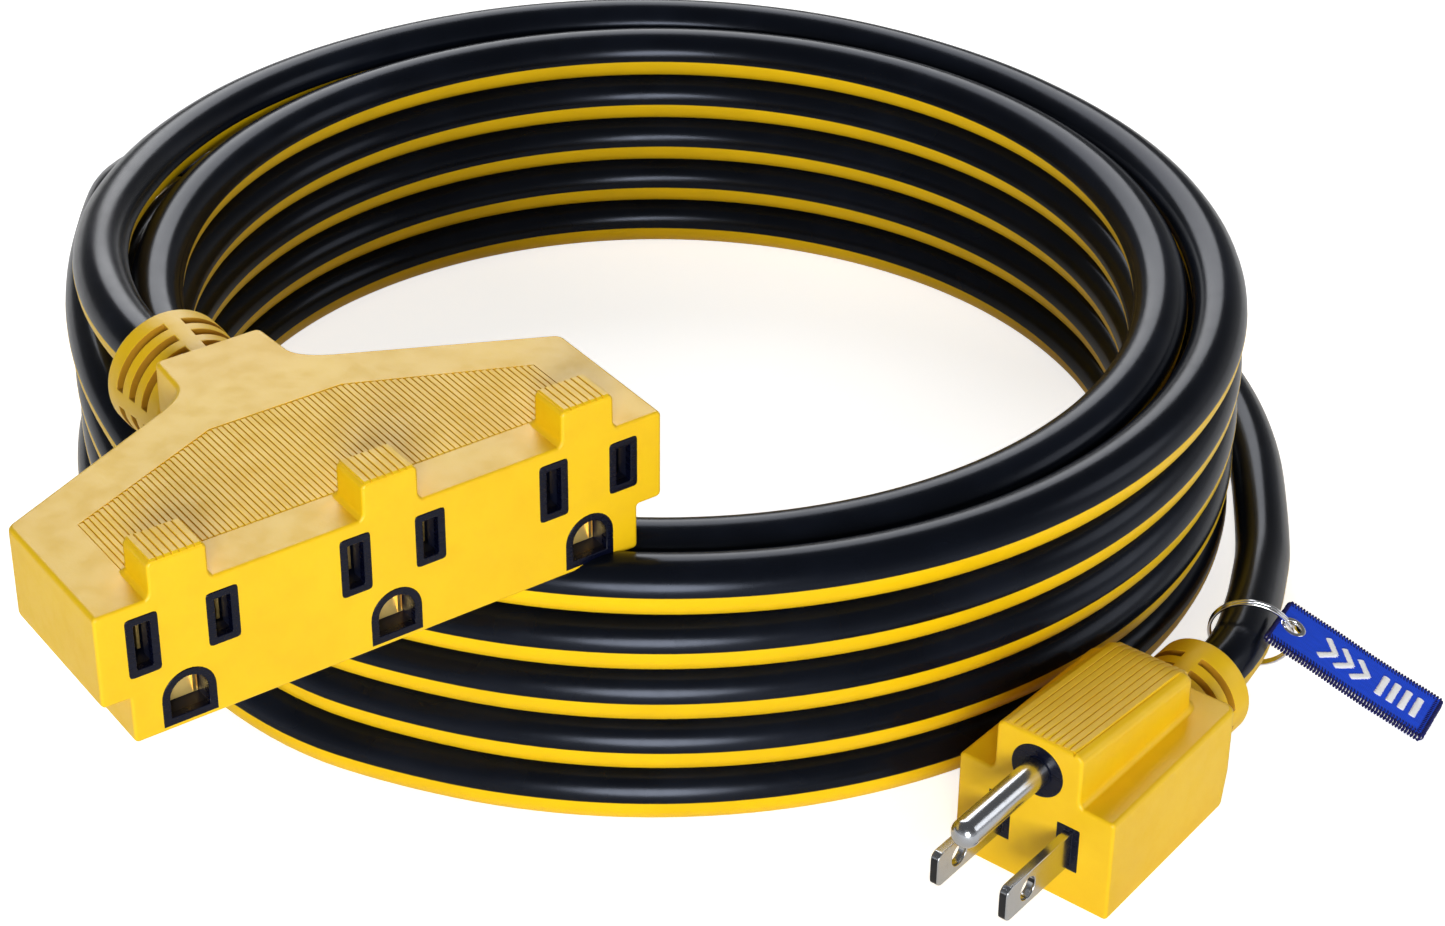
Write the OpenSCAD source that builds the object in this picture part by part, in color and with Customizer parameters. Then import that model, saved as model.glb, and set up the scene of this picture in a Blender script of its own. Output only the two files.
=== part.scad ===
// Extension cord: a three-outlet tap, a coiled two-colour cord, a grounded plug
// and a woven tag on a split ring.
// Millimetres, +Z up. The tap's outlets face -Y and the origin is the middle of the tap.

/* [Cord] */
// Diameter of the cord's jacket
cord_d = 9.8; // [9:0.1:10.4]
// Diameter of one insulated core
core_d = 2.8; // [2.2:0.1:3.2]
// Number of layers in the coil
coil_layers = 5; // [4:1:6]
// Radius of the coil's inner column of turns, to the cord's centre
coil_r = 91.7; // [86:0.1:100]
// Space between the coil's two columns of turns
column_gap = 0.8; // [0.4:0.1:1.6]

/* [Tap casing] */
// Width over the upper part
tap_w = 96; // [92:0.5:104]
// Width of the step in each side, above the lower part
side_step = 4.5; // [3:0.1:6]
// Length of the straight sides, back from the face
tap_side_len = 28.4; // [27:0.1:32]
// Width where the shoulders end
shoulder_w = 30.4; // [26:0.1:36]
// Distance of the shoulders' end from the face
shoulder_y = 44; // [41:0.1:46]
// Width of the neck at its front
neck_w = 19.8; // [18.4:0.1:22]
// Width of the neck's end
neck_end_w = 18.8; // [17.4:0.1:20]
// Distance of the neck's front from the face
neck_y = 50; // [48:0.1:52]
// Length of the casing, from the face to the end of the neck
tap_len = 57.8; // [54:0.1:62]
// Height of the top above the slots' middle
top_rise = 7.2; // [6.6:0.1:9]
// Depth of the side step below the slots' middle
step_drop = 8.4; // [7.4:0.1:9.4]
// Depth of the underside below the slots' middle
bottom_drop = 16.4; // [16.2:0.1:19]
// Thickness of the casing's wall
wall = 2; // [1.4:0.1:2.4]
// Width of each finger tab
tab_w = 9.4; // [8:0.1:14]
// Height of each finger tab over the top
tab_rise = 6; // [3:0.1:8]
// Length of each finger tab
tab_len = 8.5; // [6:0.1:8.5]
// Spacing of the fine ribs on the top
rib_pitch = 1; // [0.9:0.1:3]
// Depth of the grooves between the ribs
rib_depth = 0.4; // [0.2:0.1:0.6]
// Width of the plain strip beside the ribs
rib_margin = 8.7; // [6:0.1:12]

/* [Outlets] */
// Distance of the outer outlets' middle from the casing's sides
outlet_side = 13.5; // [13.4:0.1:14.5]
// Spacing between the two blade slots of an outlet
blade_pitch = 12.7; // [12.7]
// Distance of the ground hole from the line through the blade slots
ground_offset = 11.9; // [11.9]
// Width of a blade slot
slot_w = 3; // [2:0.1:3.4]
// Height of the neutral slot
neutral_slot_h = 8; // [7.2:0.1:8.4]
// Height of the hot slot
hot_slot_h = 7; // [6.8:0.1:8]
// Width of the ground hole
ground_hole_w = 6.6; // [5.6:0.1:7]
// Height of the ground hole
ground_hole_h = 6.7; // [6:0.1:7]
// Distance from the ground pin's centre down to the hole's flat side
ground_hole_low = 2.6; // [2.5:0.1:2.8]
// Width of the dark collar around each opening
collar_w = 0.95; // [0.6:0.05:1]
// Length of the contact carrier behind the front wall
carrier_len = 20; // [19:0.5:22]
// Thickness of the plate behind the carrier
cover_t = 1.6; // [1:0.1:2.4]
// Thickness of the contacts' sheet metal
contact_t = 0.5; // [0.4:0.05:0.6]

/* [Strain reliefs] */
// Length of the tap's sleeve
tap_sleeve_len = 15.8; // [15.6:0.1:20]
// Radius of the tap's sleeve at its end collar
tap_collar_r = 10.9; // [10:0.1:11.2]
// Radius of the tap's sleeve beside the neck
tap_root_r = 9.4; // [8.8:0.1:10]
// Length of the plug's sleeve
plug_sleeve_len = 13.4; // [13.2:0.1:18]
// Radius of the plug's sleeve at its end collar
plug_collar_r = 8.9; // [8.6:0.1:9.6]
// Radius of the plug's sleeve beside the plug
plug_root_r = 7.9; // [7.4:0.1:8.6]
// Length of the tap sleeve's plain end collar
tap_collar_len = 3.6; // [3:0.1:3.8]
// Length of the plug sleeve's plain end collar
plug_collar_len = 4.8; // [4:0.1:5]
// Width of each slot in the tap's sleeve
tap_slot_w = 1.6; // [1.2:0.1:1.8]
// Width of each slot in the plug's sleeve
plug_slot_w = 1.2; // [0.8:0.1:1.4]
// Width of the rings between the slots
flex_ring_w = 2; // [1.6:0.05:2.2]
// Wall left between the cord and the sleeves' slots
flex_core = 1.4; // [1:0.1:1.8]
// Width of the four spines that join a sleeve's rings
spine_w = 3; // [2:0.1:4]

/* [Plug] */
// Width of the plug
plug_w = 28.8; // [27:0.1:32]
// Length of the plug's casing
plug_len = 38.4; // [36:0.1:44]
// Height of the plug's shoulders above the blades' middle
plug_rise = 8.4; // [7.6:0.1:9]
// Depth of the plug's underside below the blades' middle
plug_drop = 10.7; // [10.6:0.1:11.2]
// Height of the thumb ridge's front above the blades' middle
ridge_rise = 18.5; // [17.4:0.1:20]
// Drop of the thumb ridge's top towards its rear
ridge_fall = 2.4; // [0:0.1:2.8]
// Width of the thumb ridge
ridge_w = 15.8; // [14:0.1:18]
// Length of the thumb ridge
ridge_len = 34.2; // [28:0.1:36]
// Number of grooves along the thumb ridge
ridge_grooves = 8; // [4:1:10]
// Length of the slope under the plug's rear end
heel_len = 1.6; // [0.5:0.1:3]
// Height of the slope under the plug's rear end
heel_h = 7.5; // [5:0.1:9]
// Size of the plug's cut rear corners
corner_cut = 3.6; // [2:0.1:4]
// Width of a blade
blade_w = 6.35; // [6.35]
// Thickness of a blade
blade_t = 1.52; // [1.52]
// Length of a blade outside the plug
blade_out = 17.8; // [15.9:0.1:18.3]
// Diameter of the hole in a blade
blade_hole_d = 4; // [3.2:0.1:4.2]
// Diameter of the ground pin
pin_d = 4.8; // [4.8]
// Diameter of the ground pin's shank inside the plug
pin_shank_d = 4; // [3.6:0.1:4.4]
// Length of the ground pin outside the plug
pin_out = 21.4; // [19:0.1:22]
// Radius of the dark collar around the ground pin
pin_collar_r = 4.7; // [4:0.1:4.9]

/* [Tag] */
// Length of the tag
tag_len = 31; // [28:0.1:34]
// Width of the tag
tag_w = 13.6; // [11:0.1:14]
// Thickness of the tag's cloth
tag_t = 1.2; // [0.8:0.1:1.4]
// Width of the overlocked border
border_w = 0.75; // [0.5:0.05:0.8]
// How far the border's thread stands above the cloth
border_rise = 0.15; // [0.1:0.05:0.3]
// Distance of the eyelet from the tag's end
eyelet_inset = 3.2; // [3.1:0.1:4]
// Diameter of the eyelet's hole
eyelet_d = 3; // [2.8:0.1:3.2]
// Width of the eyelet's rim
eyelet_rim = 0.8; // [0.5:0.1:0.8]
// Thickness of the eyelet's rim
eyelet_t = 0.15; // [0.1:0.05:0.2]
// Inner diameter of the split ring
split_ring_d = 13.6; // [13.3:0.05:13.9]
// Thickness of the split ring's wire
ring_wire_d = 0.65; // [0.5:0.05:0.7]

/* [Hidden] */
$fn = 48;

// Clearances
rest_gap = 0.1;
collar_lift = 0.2;
fit_gap = 0.1;
over = 1;

// Places of the main parts
cord_r = cord_d / 2;
tap_total_len = tap_len + tap_sleeve_len;
tap_top = top_rise + tab_rise;
tap_z = (bottom_drop - tap_top) / 2;
tap_axis = tap_collar_r + collar_lift - bottom_drop;
coil_r_out = coil_r + cord_d + column_gap;
coil_h = coil_layers * cord_d;
coil_top = -(tap_top + bottom_drop) / 2 - rest_gap;
floor_z = coil_top - coil_h;
top_turn_z = coil_top - cord_r;
lead_inset = 0.2;
coil_x = coil_r_out - lead_inset;
coil_y = tap_total_len / 2 + 5.15;

// Tap
tap_low_w = tap_w - 2 * side_step;
outlet_pitch = tap_w / 2 - outlet_side;
carrier_back = wall + carrier_len;
carrier_top = top_rise - wall;
carrier_step = wall - step_drop;
ground_hole_floor = -ground_offset - ground_hole_low;
carrier_floor = ground_hole_floor - collar_w;
ground_dome_z = ground_hole_floor + ground_hole_h - ground_hole_w / 2;
bay_wall = 1.2;
bay_y = carrier_back - 4.6;
bus_y = bay_y + 0.6;
bus_t = 0.8;
bus_h = 3;
bus_gap = 1.2;
bus_end = 0.6;
contact_y = wall + 2;
contact_back = bay_y - 0.8;
crimp_t = 0.5;
crimp_len = carrier_back - bus_y - bus_t - 0.2;
crimp_x = 8;
jacket_y = neck_y - 9;
room_w = 26;
room_h = 2 * (cord_r - 0.5);
core_room_back = carrier_back + 12;
core_ring_r = 2;
neutral_bus_z = (bus_h + bus_gap) / 2;
hot_bus_z = -neutral_bus_z;
core_gap = 0.7;

// Plug
plug_angle = -98.8;
plug_clear = 31.6;
plug_yaw = -74.3;
plug_x = coil_x + (coil_r_out + plug_clear) * cos(plug_angle);
plug_y = coil_y + (coil_r_out + plug_clear) * sin(plug_angle);
plug_axis = plug_collar_r + collar_lift - plug_drop;
plug_wall = 1.8;
plug_carrier_len = 14;
plug_carrier_back = plug_wall + plug_carrier_len;
plug_jacket_y = 29;
plug_room_w = 18;
blade_hole_y = 11.9;
pin_shoulder = 0.2;
groove_depth = 0.35;
plug_crimp_len = 4;

// Tag and ring, measured from the coil's axis and the floor
tag_place = [50.17, -117.65, 11.41];
tag_yaw = -65;
tag_pitch = 20.5;
tag_roll = -4.5;
ring_place = [46.18, -112.14, 9.1];
ring_yaw = -53;
ring_rise = 18;
ring_lean = 10;

// Route of the tap's lead over the coil:
// [angle, distance beyond the outer column, height over the top turn's centre]
tap_lead_route = [
    [178, -0.1, 15.9], [172, -0.5, 15.2], [162, -1.2, 13.8], [150, -1.8, 11.2], [138, -2, 8.6],
    [125, -1.3, 6.2], [110, -0.3, 4.4], [92, 0, 3.2], [74, 0, 2.6], [56, 0, 2.1], [38, 0, 1.4],
    [20, 0, 0.5], [4, 0, -0.8]
];
// Route of the plug's lead down the coil's outside:
// [angle, distance beyond the outer column, share of the way down]
plug_drop_route = [
    [170, 0.1, 0], [162, 0.2, 0], [156, 0.4, 0], [150, 0.8, 0], [144, 1.6, 0], [138, 2.9, 0],
    [132, 4.9, 0], [126, 7.2, 0.05], [120, 9.2, 0.14], [114, 10.4, 0.29], [108, 10.8, 0.45],
    [101, 10.8, 0.62], [94, 10.7, 0.78], [87, 10.6, 0.9], [80, 10.6, 0.97], [72, 10.6, 1]
];
// Route along the floor to the plug: [angle, distance beyond the outer column, lift]
plug_floor_route = [
    [66, 10.6, 0], [60, 10.6, 0], [50, 10.6, 0], [40, 10.6, 0], [30, 10.6, 0], [20, 10.6, 0],
    [10, 10.6, 0], [0, 10.6, 0], [-10, 10.6, 0], [-20, 10.6, 0], [-30, 10.6, 0], [-38, 10.6, 0],
    [-43, 10.7, 0], [-48, 11.4, 0], [-53, 12.7, 0.3], [-58, 13.9, 1.1], [-62.5, 15.5, 2.2],
    [-66.5, 17.1, 3.2], [-70, 18.7, 3.9], [-73.3, 19.4, 4.2]
];

function beside_coil(angle, out, z) = [
    coil_x + (coil_r_out + out) * cos(angle),
    coil_y + (coil_r_out + out) * sin(angle),
    z
];
function plug_point(back, z) = [
    plug_x - back * sin(plug_yaw),
    plug_y + back * cos(plug_yaw),
    floor_z + plug_drop + z
];
function lerp(a, b, share) = a + (b - a) * share;

// Tubes along a path
function unit(v) = v / norm(v);
function path_tangent(path, i) = unit(path[min(i + 1, len(path) - 1)] - path[max(i - 1, 0)]);
function side_of(t) = abs(t[2]) > 0.99 ? [1, 0, 0] : unit(cross(t, [0, 0, 1]));
function section_points(p, t, r, sides) =
    let(u = side_of(t), v = cross(u, t))
    [for (k = [0 : sides - 1]) p + r * (u * cos(360 * k / sides) + v * sin(360 * k / sides))];

module tube(path, d, sides = 12) {
    last = len(path) - 1;
    points = [for (i = [0 : last]) each section_points(path[i], path_tangent(path, i), d / 2, sides)];
    caps = [
        [for (k = [sides - 1 : -1 : 0]) k],
        [for (k = [0 : sides - 1]) last * sides + k]
    ];
    skin = [for (i = [0 : last - 1], k = [0 : sides - 1])
        let(a = i * sides + k, b = i * sides + (k + 1) % sides)
        each [[a, b, b + sides], [a, b + sides, a + sides]]];
    polyhedron(points = points, faces = concat(caps, skin), convexity = 6);
}

// Frames of the main parts
module at_tap() translate([0, -tap_total_len / 2, tap_z]) children();
module at_plug() translate([plug_x, plug_y, floor_z + plug_drop]) rotate([0, 0, plug_yaw]) children();
module at_coil() translate([coil_x, coil_y, floor_z]) children();
module at_tag() at_coil() translate(tag_place)
    rotate([0, 0, tag_yaw]) rotate([0, tag_pitch, 0]) rotate([tag_roll, 0, 0]) children();
module each_outlet() for (i = [-1 : 1]) translate([i * outlet_pitch, 0, 0]) children();

// Shapes in a frame where X is sideways, Y goes back from the face and Z is up
module upright(depth, y = 0) translate([0, y + depth, 0]) rotate([90, 0, 0]) linear_extrude(depth) children();
module block(w, y0, y1, z0, z1) translate([-w / 2, y0, z0]) cube([w, y1 - y0, z1 - z0]);
module rod(r, y0, y1) translate([0, y0, 0]) rotate([-90, 0, 0]) cylinder(r = r, h = y1 - y0);

// ---- Tap ----
module tap_outline(w) {
    fillet = [(shoulder_w + neck_w) / 4 - 1.05, (shoulder_y + neck_y) / 2 - 0.4];
    half = [
        [w / 2, 0], [w / 2, tap_side_len], [shoulder_w / 2, shoulder_y], fillet,
        [neck_w / 2, neck_y], [neck_end_w / 2, tap_len]
    ];
    last = len(half) - 1;
    polygon(concat(half, [for (i = [last : -1 : 0]) [-half[i][0], half[i][1]]]));
}

module ground_hole_outline(grow) {
    r = ground_hole_w / 2 + grow;
    intersection() {
        union() {
            translate([0, ground_dome_z]) circle(r = r);
            translate([-r, ground_hole_floor - grow]) square([2 * r, ground_dome_z - ground_hole_floor + grow]);
        }
        translate([-r, ground_hole_floor - grow]) square([2 * r, 3 * r]);
    }
}

module outlet_outline(grow) {
    for (side = [-1, 1]) {
        h = (side < 0 ? neutral_slot_h : hot_slot_h) + 2 * grow;
        translate([side * blade_pitch / 2 - slot_w / 2 - grow, -h / 2]) square([slot_w + 2 * grow, h]);
    }
    ground_hole_outline(grow);
}

// Step-shaped section of the carrier, its pocket and its cover
module carrier_section(grow = 0) {
    translate([-tap_w / 2 + wall - grow, carrier_step - grow])
        square([tap_w - 2 * wall + 2 * grow, carrier_top - carrier_step + 2 * grow]);
    translate([-tap_low_w / 2 + wall - grow, carrier_floor - grow])
        square([tap_low_w - 2 * wall + 2 * grow, carrier_step - carrier_floor + over]);
}

module top_grooves() {
    front_y = tab_len + 0.1;
    reach = tap_w / 2 - rib_margin;
    inner = shoulder_w / 2 - 3.6;
    deep_y = shoulder_y - 9.1;
    bend_y = tap_side_len - 5.7;
    count = floor(reach / rib_pitch);
    groove_w = rib_pitch * 0.45;
    for (i = [-count : count]) {
        x = i * rib_pitch;
        share = max(0, (abs(x) - inner) / (reach - inner));
        translate([x - groove_w / 2, front_y, top_rise - rib_depth])
            cube([groove_w, lerp(deep_y, bend_y, share) - front_y, rib_depth + over]);
    }
}

module finger_tab() {
    ridges = 6;
    ridge_pitch = tab_w / (ridges + 1);
    difference() {
        block(tab_w, 0, tab_len, top_rise - over, tap_top);
        for (i = [1 : ridges])
            translate([i * ridge_pitch - tab_w / 2 - 0.3, -over, tap_top - 0.4])
                cube([0.6, tab_len + 2 * over, over]);
    }
}

module tap_body() color("gold") at_tap() difference() {
    union() {
        translate([0, 0, -step_drop]) linear_extrude(top_rise + step_drop) tap_outline(tap_w);
        translate([0, 0, -bottom_drop]) linear_extrude(bottom_drop - step_drop) tap_outline(tap_low_w);
        each_outlet() finger_tab();
    }
    upright(carrier_len + cover_t + fit_gap, wall) carrier_section(fit_gap);
    each_outlet() upright(wall + 2 * over, -over) outlet_outline(collar_w + fit_gap / 2);
    translate([0, 0, tap_axis])
        block(room_w, carrier_back, jacket_y + 1.5, -room_h / 2, room_h / 2);
    block(room_w, carrier_back, core_room_back,
        -ground_offset - core_d / 2 - core_gap, neutral_bus_z + core_d / 2 + core_gap);
    translate([0, 0, tap_axis]) rod(cord_r + fit_gap, jacket_y - over, tap_len + over);
    top_grooves();
}

module contact_carrier() color("midnightblue") at_tap() difference() {
    union() {
        upright(carrier_len, wall) carrier_section();
        each_outlet() upright(wall + over, 0) outlet_outline(collar_w);
    }
    each_outlet() {
        upright(wall + 3, -over) outlet_outline(0);
        for (side = [-1, 1])
            translate([side * blade_pitch / 2, 0, 0])
                block(slot_w + 2, wall + 1.5, bay_y + over, -neutral_slot_h / 2, neutral_slot_h / 2);
        block(ground_hole_w, wall + 1.5, bay_y + over, ground_hole_floor, ground_dome_z + ground_hole_w / 2);
    }
    block(tap_w - 2 * (wall + bay_wall), bay_y, carrier_back + over, carrier_step + bay_wall, carrier_top - bay_wall);
    block(tap_low_w - 2 * (wall + bay_wall), bay_y, carrier_back + over, ground_hole_floor, carrier_step + 2 * bay_wall);
}

module carrier_cover() color("darkslateblue") at_tap() difference() {
    upright(cover_t, carrier_back) carrier_section();
    for (c = core_targets())
        translate([c[0], 0, c[1]]) rod(core_d / 2 + 0.4, carrier_back - over, carrier_back + cover_t + over);
}

// Where the cores meet the strips: [x, z] of neutral, hot and ground
function core_targets() = [
    [-crimp_x, neutral_bus_z], [crimp_x, hot_bus_z], [0, -ground_offset]
];

// Two sprung leaves and the tail that joins them to their strip
module blade_contact(x, strip_z) {
    leaf_h = neutral_slot_h - 1.2;
    for (side = [-1, 1])
        translate([x + side * (blade_t + contact_t) / 2, 0, 0])
            block(contact_t, contact_y, contact_back, -leaf_h / 2, leaf_h / 2);
    translate([x, 0, strip_z])
        block(blade_t + 2 * contact_t, contact_back - over, bus_y, -bus_h / 2, bus_h / 2);
}

module ground_contact() {
    inner = pin_d / 2;
    roof = -ground_offset + inner;
    for (side = [-1, 1])
        translate([side * (inner + contact_t / 2), 0, 0])
            block(contact_t, contact_y, contact_back, ground_hole_floor + 0.2, roof + contact_t);
    block(2 * inner + contact_t, contact_y, contact_back, roof, roof + contact_t);
    translate([0, 0, -ground_offset])
        block(2 * inner + 2 * contact_t, contact_back - contact_t, contact_back, -bus_h / 2, inner + contact_t);
    translate([0, 0, -ground_offset]) block(2 * inner, contact_back - contact_t, bus_y, -bus_h / 2, bus_h / 2);
}

module bus_strip(x, z, contact_w) translate([x, 0, z])
    block(2 * (outlet_pitch + bus_end) + contact_w, bus_y, bus_y + bus_t, -bus_h / 2, bus_h / 2);

module neutral_bus() color("goldenrod") at_tap() union() {
    bus_strip(-blade_pitch / 2, neutral_bus_z, blade_t + 2 * contact_t);
    each_outlet() blade_contact(-blade_pitch / 2, neutral_bus_z);
}

module hot_bus() color("goldenrod") at_tap() union() {
    bus_strip(blade_pitch / 2, hot_bus_z, blade_t + 2 * contact_t);
    each_outlet() blade_contact(blade_pitch / 2, hot_bus_z);
}

module ground_bus() color("goldenrod") at_tap() union() {
    bus_strip(0, -ground_offset, pin_d + 2 * contact_t);
    each_outlet() ground_contact();
}

module tap_crimps() color("silver") at_tap()
    for (c = core_targets())
        translate([c[0], 0, c[1]]) difference() {
            rod(core_d / 2 + crimp_t, bus_y + bus_t, bus_y + bus_t + crimp_len);
            rod(core_d / 2 + 0.02, bus_y + bus_t - over, bus_y + bus_t + crimp_len + over);
        }

// A core's path from the jacket's end to its crimp
function core_start(k) = core_ring_r * [cos(90 + 120 * k), sin(90 + 120 * k)];
function tap_core_path(k) =
    let(order = [1, 2, 0], s = core_start(order[k]), c = core_targets()[k], y1 = carrier_back + cover_t + 2)
    [
        [s[0], jacket_y, tap_axis + s[1]],
        [s[0], jacket_y - 4, tap_axis + s[1]],
        [lerp(s[0], c[0], 0.5), (jacket_y - 4 + y1) / 2, lerp(tap_axis + s[1], c[1], 0.5)],
        [c[0], y1, c[1]],
        [c[0], bus_y + bus_t, c[1]]
    ];

module tap_neutral_wire() color("white") at_tap() tube(tap_core_path(0), core_d, 8);
module tap_hot_wire() color("black") at_tap() tube(tap_core_path(1), core_d, 8);
module tap_ground_wire() color("green") at_tap() tube(tap_core_path(2), core_d, 8);

module tap_jacket_end() color("black") at_tap()
    translate([0, 0, tap_axis]) rod(cord_r, jacket_y, tap_total_len);

// ---- Strain reliefs ----
// A sleeve from y = 0 to its end collar, cut by three rows of slots between four spines
module sleeve(len, root_r, collar_r, collar_len, slot_w) {
    rows = 3;
    pitch = slot_w + flex_ring_w;
    core = cord_r + flex_core;
    difference() {
        rotate([-90, 0, 0]) union() {
            cylinder(r1 = root_r, r2 = collar_r, h = len - collar_len);
            translate([0, 0, len - collar_len]) cylinder(r = collar_r, h = collar_len);
        }
        for (row = [0 : rows - 1])
            translate([0, len - collar_len - slot_w - row * pitch, 0]) difference() {
                rod(collar_r + over, 0, slot_w);
                rod(core, -over, slot_w + over);
                block(spine_w, -over, slot_w + over, -collar_r - over, collar_r + over);
                block(2 * (collar_r + over), -over, slot_w + over, -spine_w / 2, spine_w / 2);
            }
        rod(cord_r + fit_gap, -over, len + over);
    }
}

module tap_strain_relief() color("khaki") at_tap()
    translate([0, tap_len, tap_axis])
        sleeve(tap_sleeve_len, tap_root_r, tap_collar_r, tap_collar_len, tap_slot_w);

module plug_strain_relief() color("khaki") at_plug()
    translate([0, plug_len, plug_axis])
        sleeve(plug_sleeve_len, plug_root_r, plug_collar_r, plug_collar_len, plug_slot_w);

// ---- Cord ----
// Outer shape of the wound turns, in layers of two columns
module cord_coil() color("black") at_coil() rotate_extrude($fn = 180) {
    for (layer = [0 : coil_layers - 1], r = [coil_r, coil_r_out])
        translate([r, cord_r + layer * cord_d]) circle(r = cord_r);
    translate([coil_r - cord_r / 2, cord_r / 2])
        square([coil_r_out - coil_r + cord_r, coil_h - cord_r]);
}

module cord_tap_lead() color("black") tube(concat(
    [[0, tap_total_len / 2, tap_z + tap_axis]],
    [for (p = tap_lead_route) beside_coil(p[0], p[1], top_turn_z + p[2])]
), cord_d);

module cord_plug_lead() color("black") tube(concat(
    [for (p = plug_drop_route) beside_coil(p[0], p[1], lerp(top_turn_z, floor_z + cord_r, p[2]))],
    [for (p = plug_floor_route) beside_coil(p[0], p[1], floor_z + cord_r + p[2])],
    [plug_point(plug_len + plug_sleeve_len, plug_axis)]
), cord_d);

// ---- Plug ----
// Side view of the thumb ridge, [y, z], with its rounded rear end
module ridge_profile() {
    rear = ridge_rise - ridge_fall;
    polygon([
        [0, 0], [ridge_len, 0], [ridge_len, rear - 3.6], [ridge_len - 1.2, rear - 1.3],
        [ridge_len - 3.2, rear], [0, ridge_rise]
    ]);
}

// Side view of the plug's lower block, [y, z], with the slope under its rear
module plug_profile() polygon([
    [0, -plug_drop], [plug_len - heel_len, -plug_drop], [plug_len, heel_h - plug_drop],
    [plug_len, plug_rise], [0, plug_rise]
]);

// One cut upper rear corner of the lower block
module plug_corner(side) translate([side * plug_w / 2, plug_len, plug_rise])
    polyhedron(
        points = [[over * side, over, over], [-corner_cut * side, over, over],
            [over * side, -corner_cut, over], [over * side, over, -corner_cut - over]],
        faces = side > 0 ? [[0, 1, 2], [0, 3, 1], [0, 2, 3], [1, 3, 2]]
            : [[0, 2, 1], [0, 1, 3], [0, 3, 2], [1, 2, 3]]
    );

module plug_body() color("gold") at_plug() difference() {
    union() {
        rotate([90, 0, 90]) translate([0, 0, -plug_w / 2]) linear_extrude(plug_w) plug_profile();
        rotate([90, 0, 90]) translate([0, 0, -ridge_w / 2]) linear_extrude(ridge_w) ridge_profile();
    }
    for (side = [-1, 1]) plug_corner(side);
    groove_pitch = (ridge_w - 2) / (ridge_grooves + 1);
    for (i = [1 : ridge_grooves])
        translate([i * groove_pitch - ridge_w / 2 + 0.8, 0, ridge_rise - groove_depth])
            rotate([-atan(ridge_fall / (ridge_len - 3.2)), 0, 0])
                translate([0, 1, 0]) cube([0.4, ridge_len + over, over]);
    upright(plug_carrier_len + fit_gap, plug_wall) blade_carrier_section(fit_gap);
    upright(plug_wall + 2 * over, -over) plug_collar_outline(fit_gap / 2);
    block(plug_room_w, plug_carrier_back, plug_jacket_y + 1, plug_axis - cord_r, plug_axis + cord_r);
    block(8, plug_carrier_back, plug_jacket_y - 1, plug_axis, ridge_rise - ridge_fall - wall);
    translate([0, 0, plug_axis]) rod(cord_r + fit_gap, plug_jacket_y - over, plug_len + over);
}

module blade_carrier_section(grow = 0) {
    translate([-plug_w / 2 + 2.4 - grow, -5.4 - grow]) square([plug_w - 4.8 + 2 * grow, 11.4 + 2 * grow]);
    translate([-ridge_w / 2 + 2.4 - grow, -5.4 - grow])
        square([ridge_w - 4.8 + 2 * grow, ground_offset + 5.4 + 4.2 + 2 * grow]);
}

module plug_collar_outline(grow) {
    for (side = [-1, 1])
        translate([side * blade_pitch / 2, 0])
            square([blade_t + 2 * (collar_w + 0.35 + grow), blade_w + 2 * (collar_w + grow)], center = true);
    translate([0, ground_offset]) circle(r = pin_collar_r + grow);
}

module blade_carrier() color("midnightblue") at_plug() difference() {
    union() {
        upright(plug_carrier_len, plug_wall) blade_carrier_section();
        upright(plug_wall + over, 0) plug_collar_outline(0);
    }
    for (side = [-1, 1])
        translate([side * blade_pitch / 2, 0, 0])
            block(blade_t + 0.04, -over, plug_carrier_back + over, -blade_w / 2 - 0.02, blade_w / 2 + 0.02);
    translate([0, 0, ground_offset]) rod(pin_shank_d / 2 + 0.02, -over, plug_carrier_back + over);
}

// Blade with a tapered tip and a round hole, centred on its own plane
module blade() difference() {
    rotate([90, 0, 90]) translate([0, 0, -blade_t / 2]) linear_extrude(blade_t) polygon([
        [-blade_out + 1.6, -blade_w / 2], [plug_carrier_back, -blade_w / 2],
        [plug_carrier_back, blade_w / 2], [-blade_out + 1.6, blade_w / 2],
        [-blade_out, blade_w / 2 - 1.4], [-blade_out, 1.4 - blade_w / 2]
    ]);
    translate([-blade_t, -blade_hole_y, 0]) rotate([0, 90, 0]) cylinder(d = blade_hole_d, h = 2 * blade_t);
}

module neutral_blade() color("silver") at_plug() translate([-blade_pitch / 2, 0, 0]) blade();
module hot_blade() color("silver") at_plug() translate([blade_pitch / 2, 0, 0]) blade();

module ground_pin() color("silver") at_plug() translate([0, 0, ground_offset]) rotate([-90, 0, 0])
    translate([0, 0, -pin_out]) rotate_extrude() {
        tip = pin_d / 2 - 0.3;
        intersection() {
            translate([0, tip]) circle(r = pin_d / 2);
            square([pin_d / 2, tip]);
        }
        translate([0, tip]) square([pin_d / 2, pin_out - tip - pin_shoulder]);
        translate([0, tip]) square([pin_shank_d / 2, pin_out - tip + plug_carrier_back]);
    }

// Where the plug's cores leave the contacts: [x, z] of neutral, hot and ground
function plug_core_targets() = [
    [-blade_pitch / 2, 0], [blade_pitch / 2, 0], [0, ground_offset]
];
function plug_core_path(k) =
    let(order = [1, 2, 0], s = core_start(order[k]), c = plug_core_targets()[k],
        y0 = plug_carrier_back + plug_crimp_len)
    [
        [c[0], plug_carrier_back, c[1]],
        [c[0], y0, c[1]],
        [lerp(c[0], s[0], 0.6), (y0 + plug_jacket_y - 2) / 2, lerp(c[1], plug_axis + s[1], 0.5)],
        [s[0], plug_jacket_y - 2, plug_axis + s[1]],
        [s[0], plug_jacket_y, plug_axis + s[1]]
    ];

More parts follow.
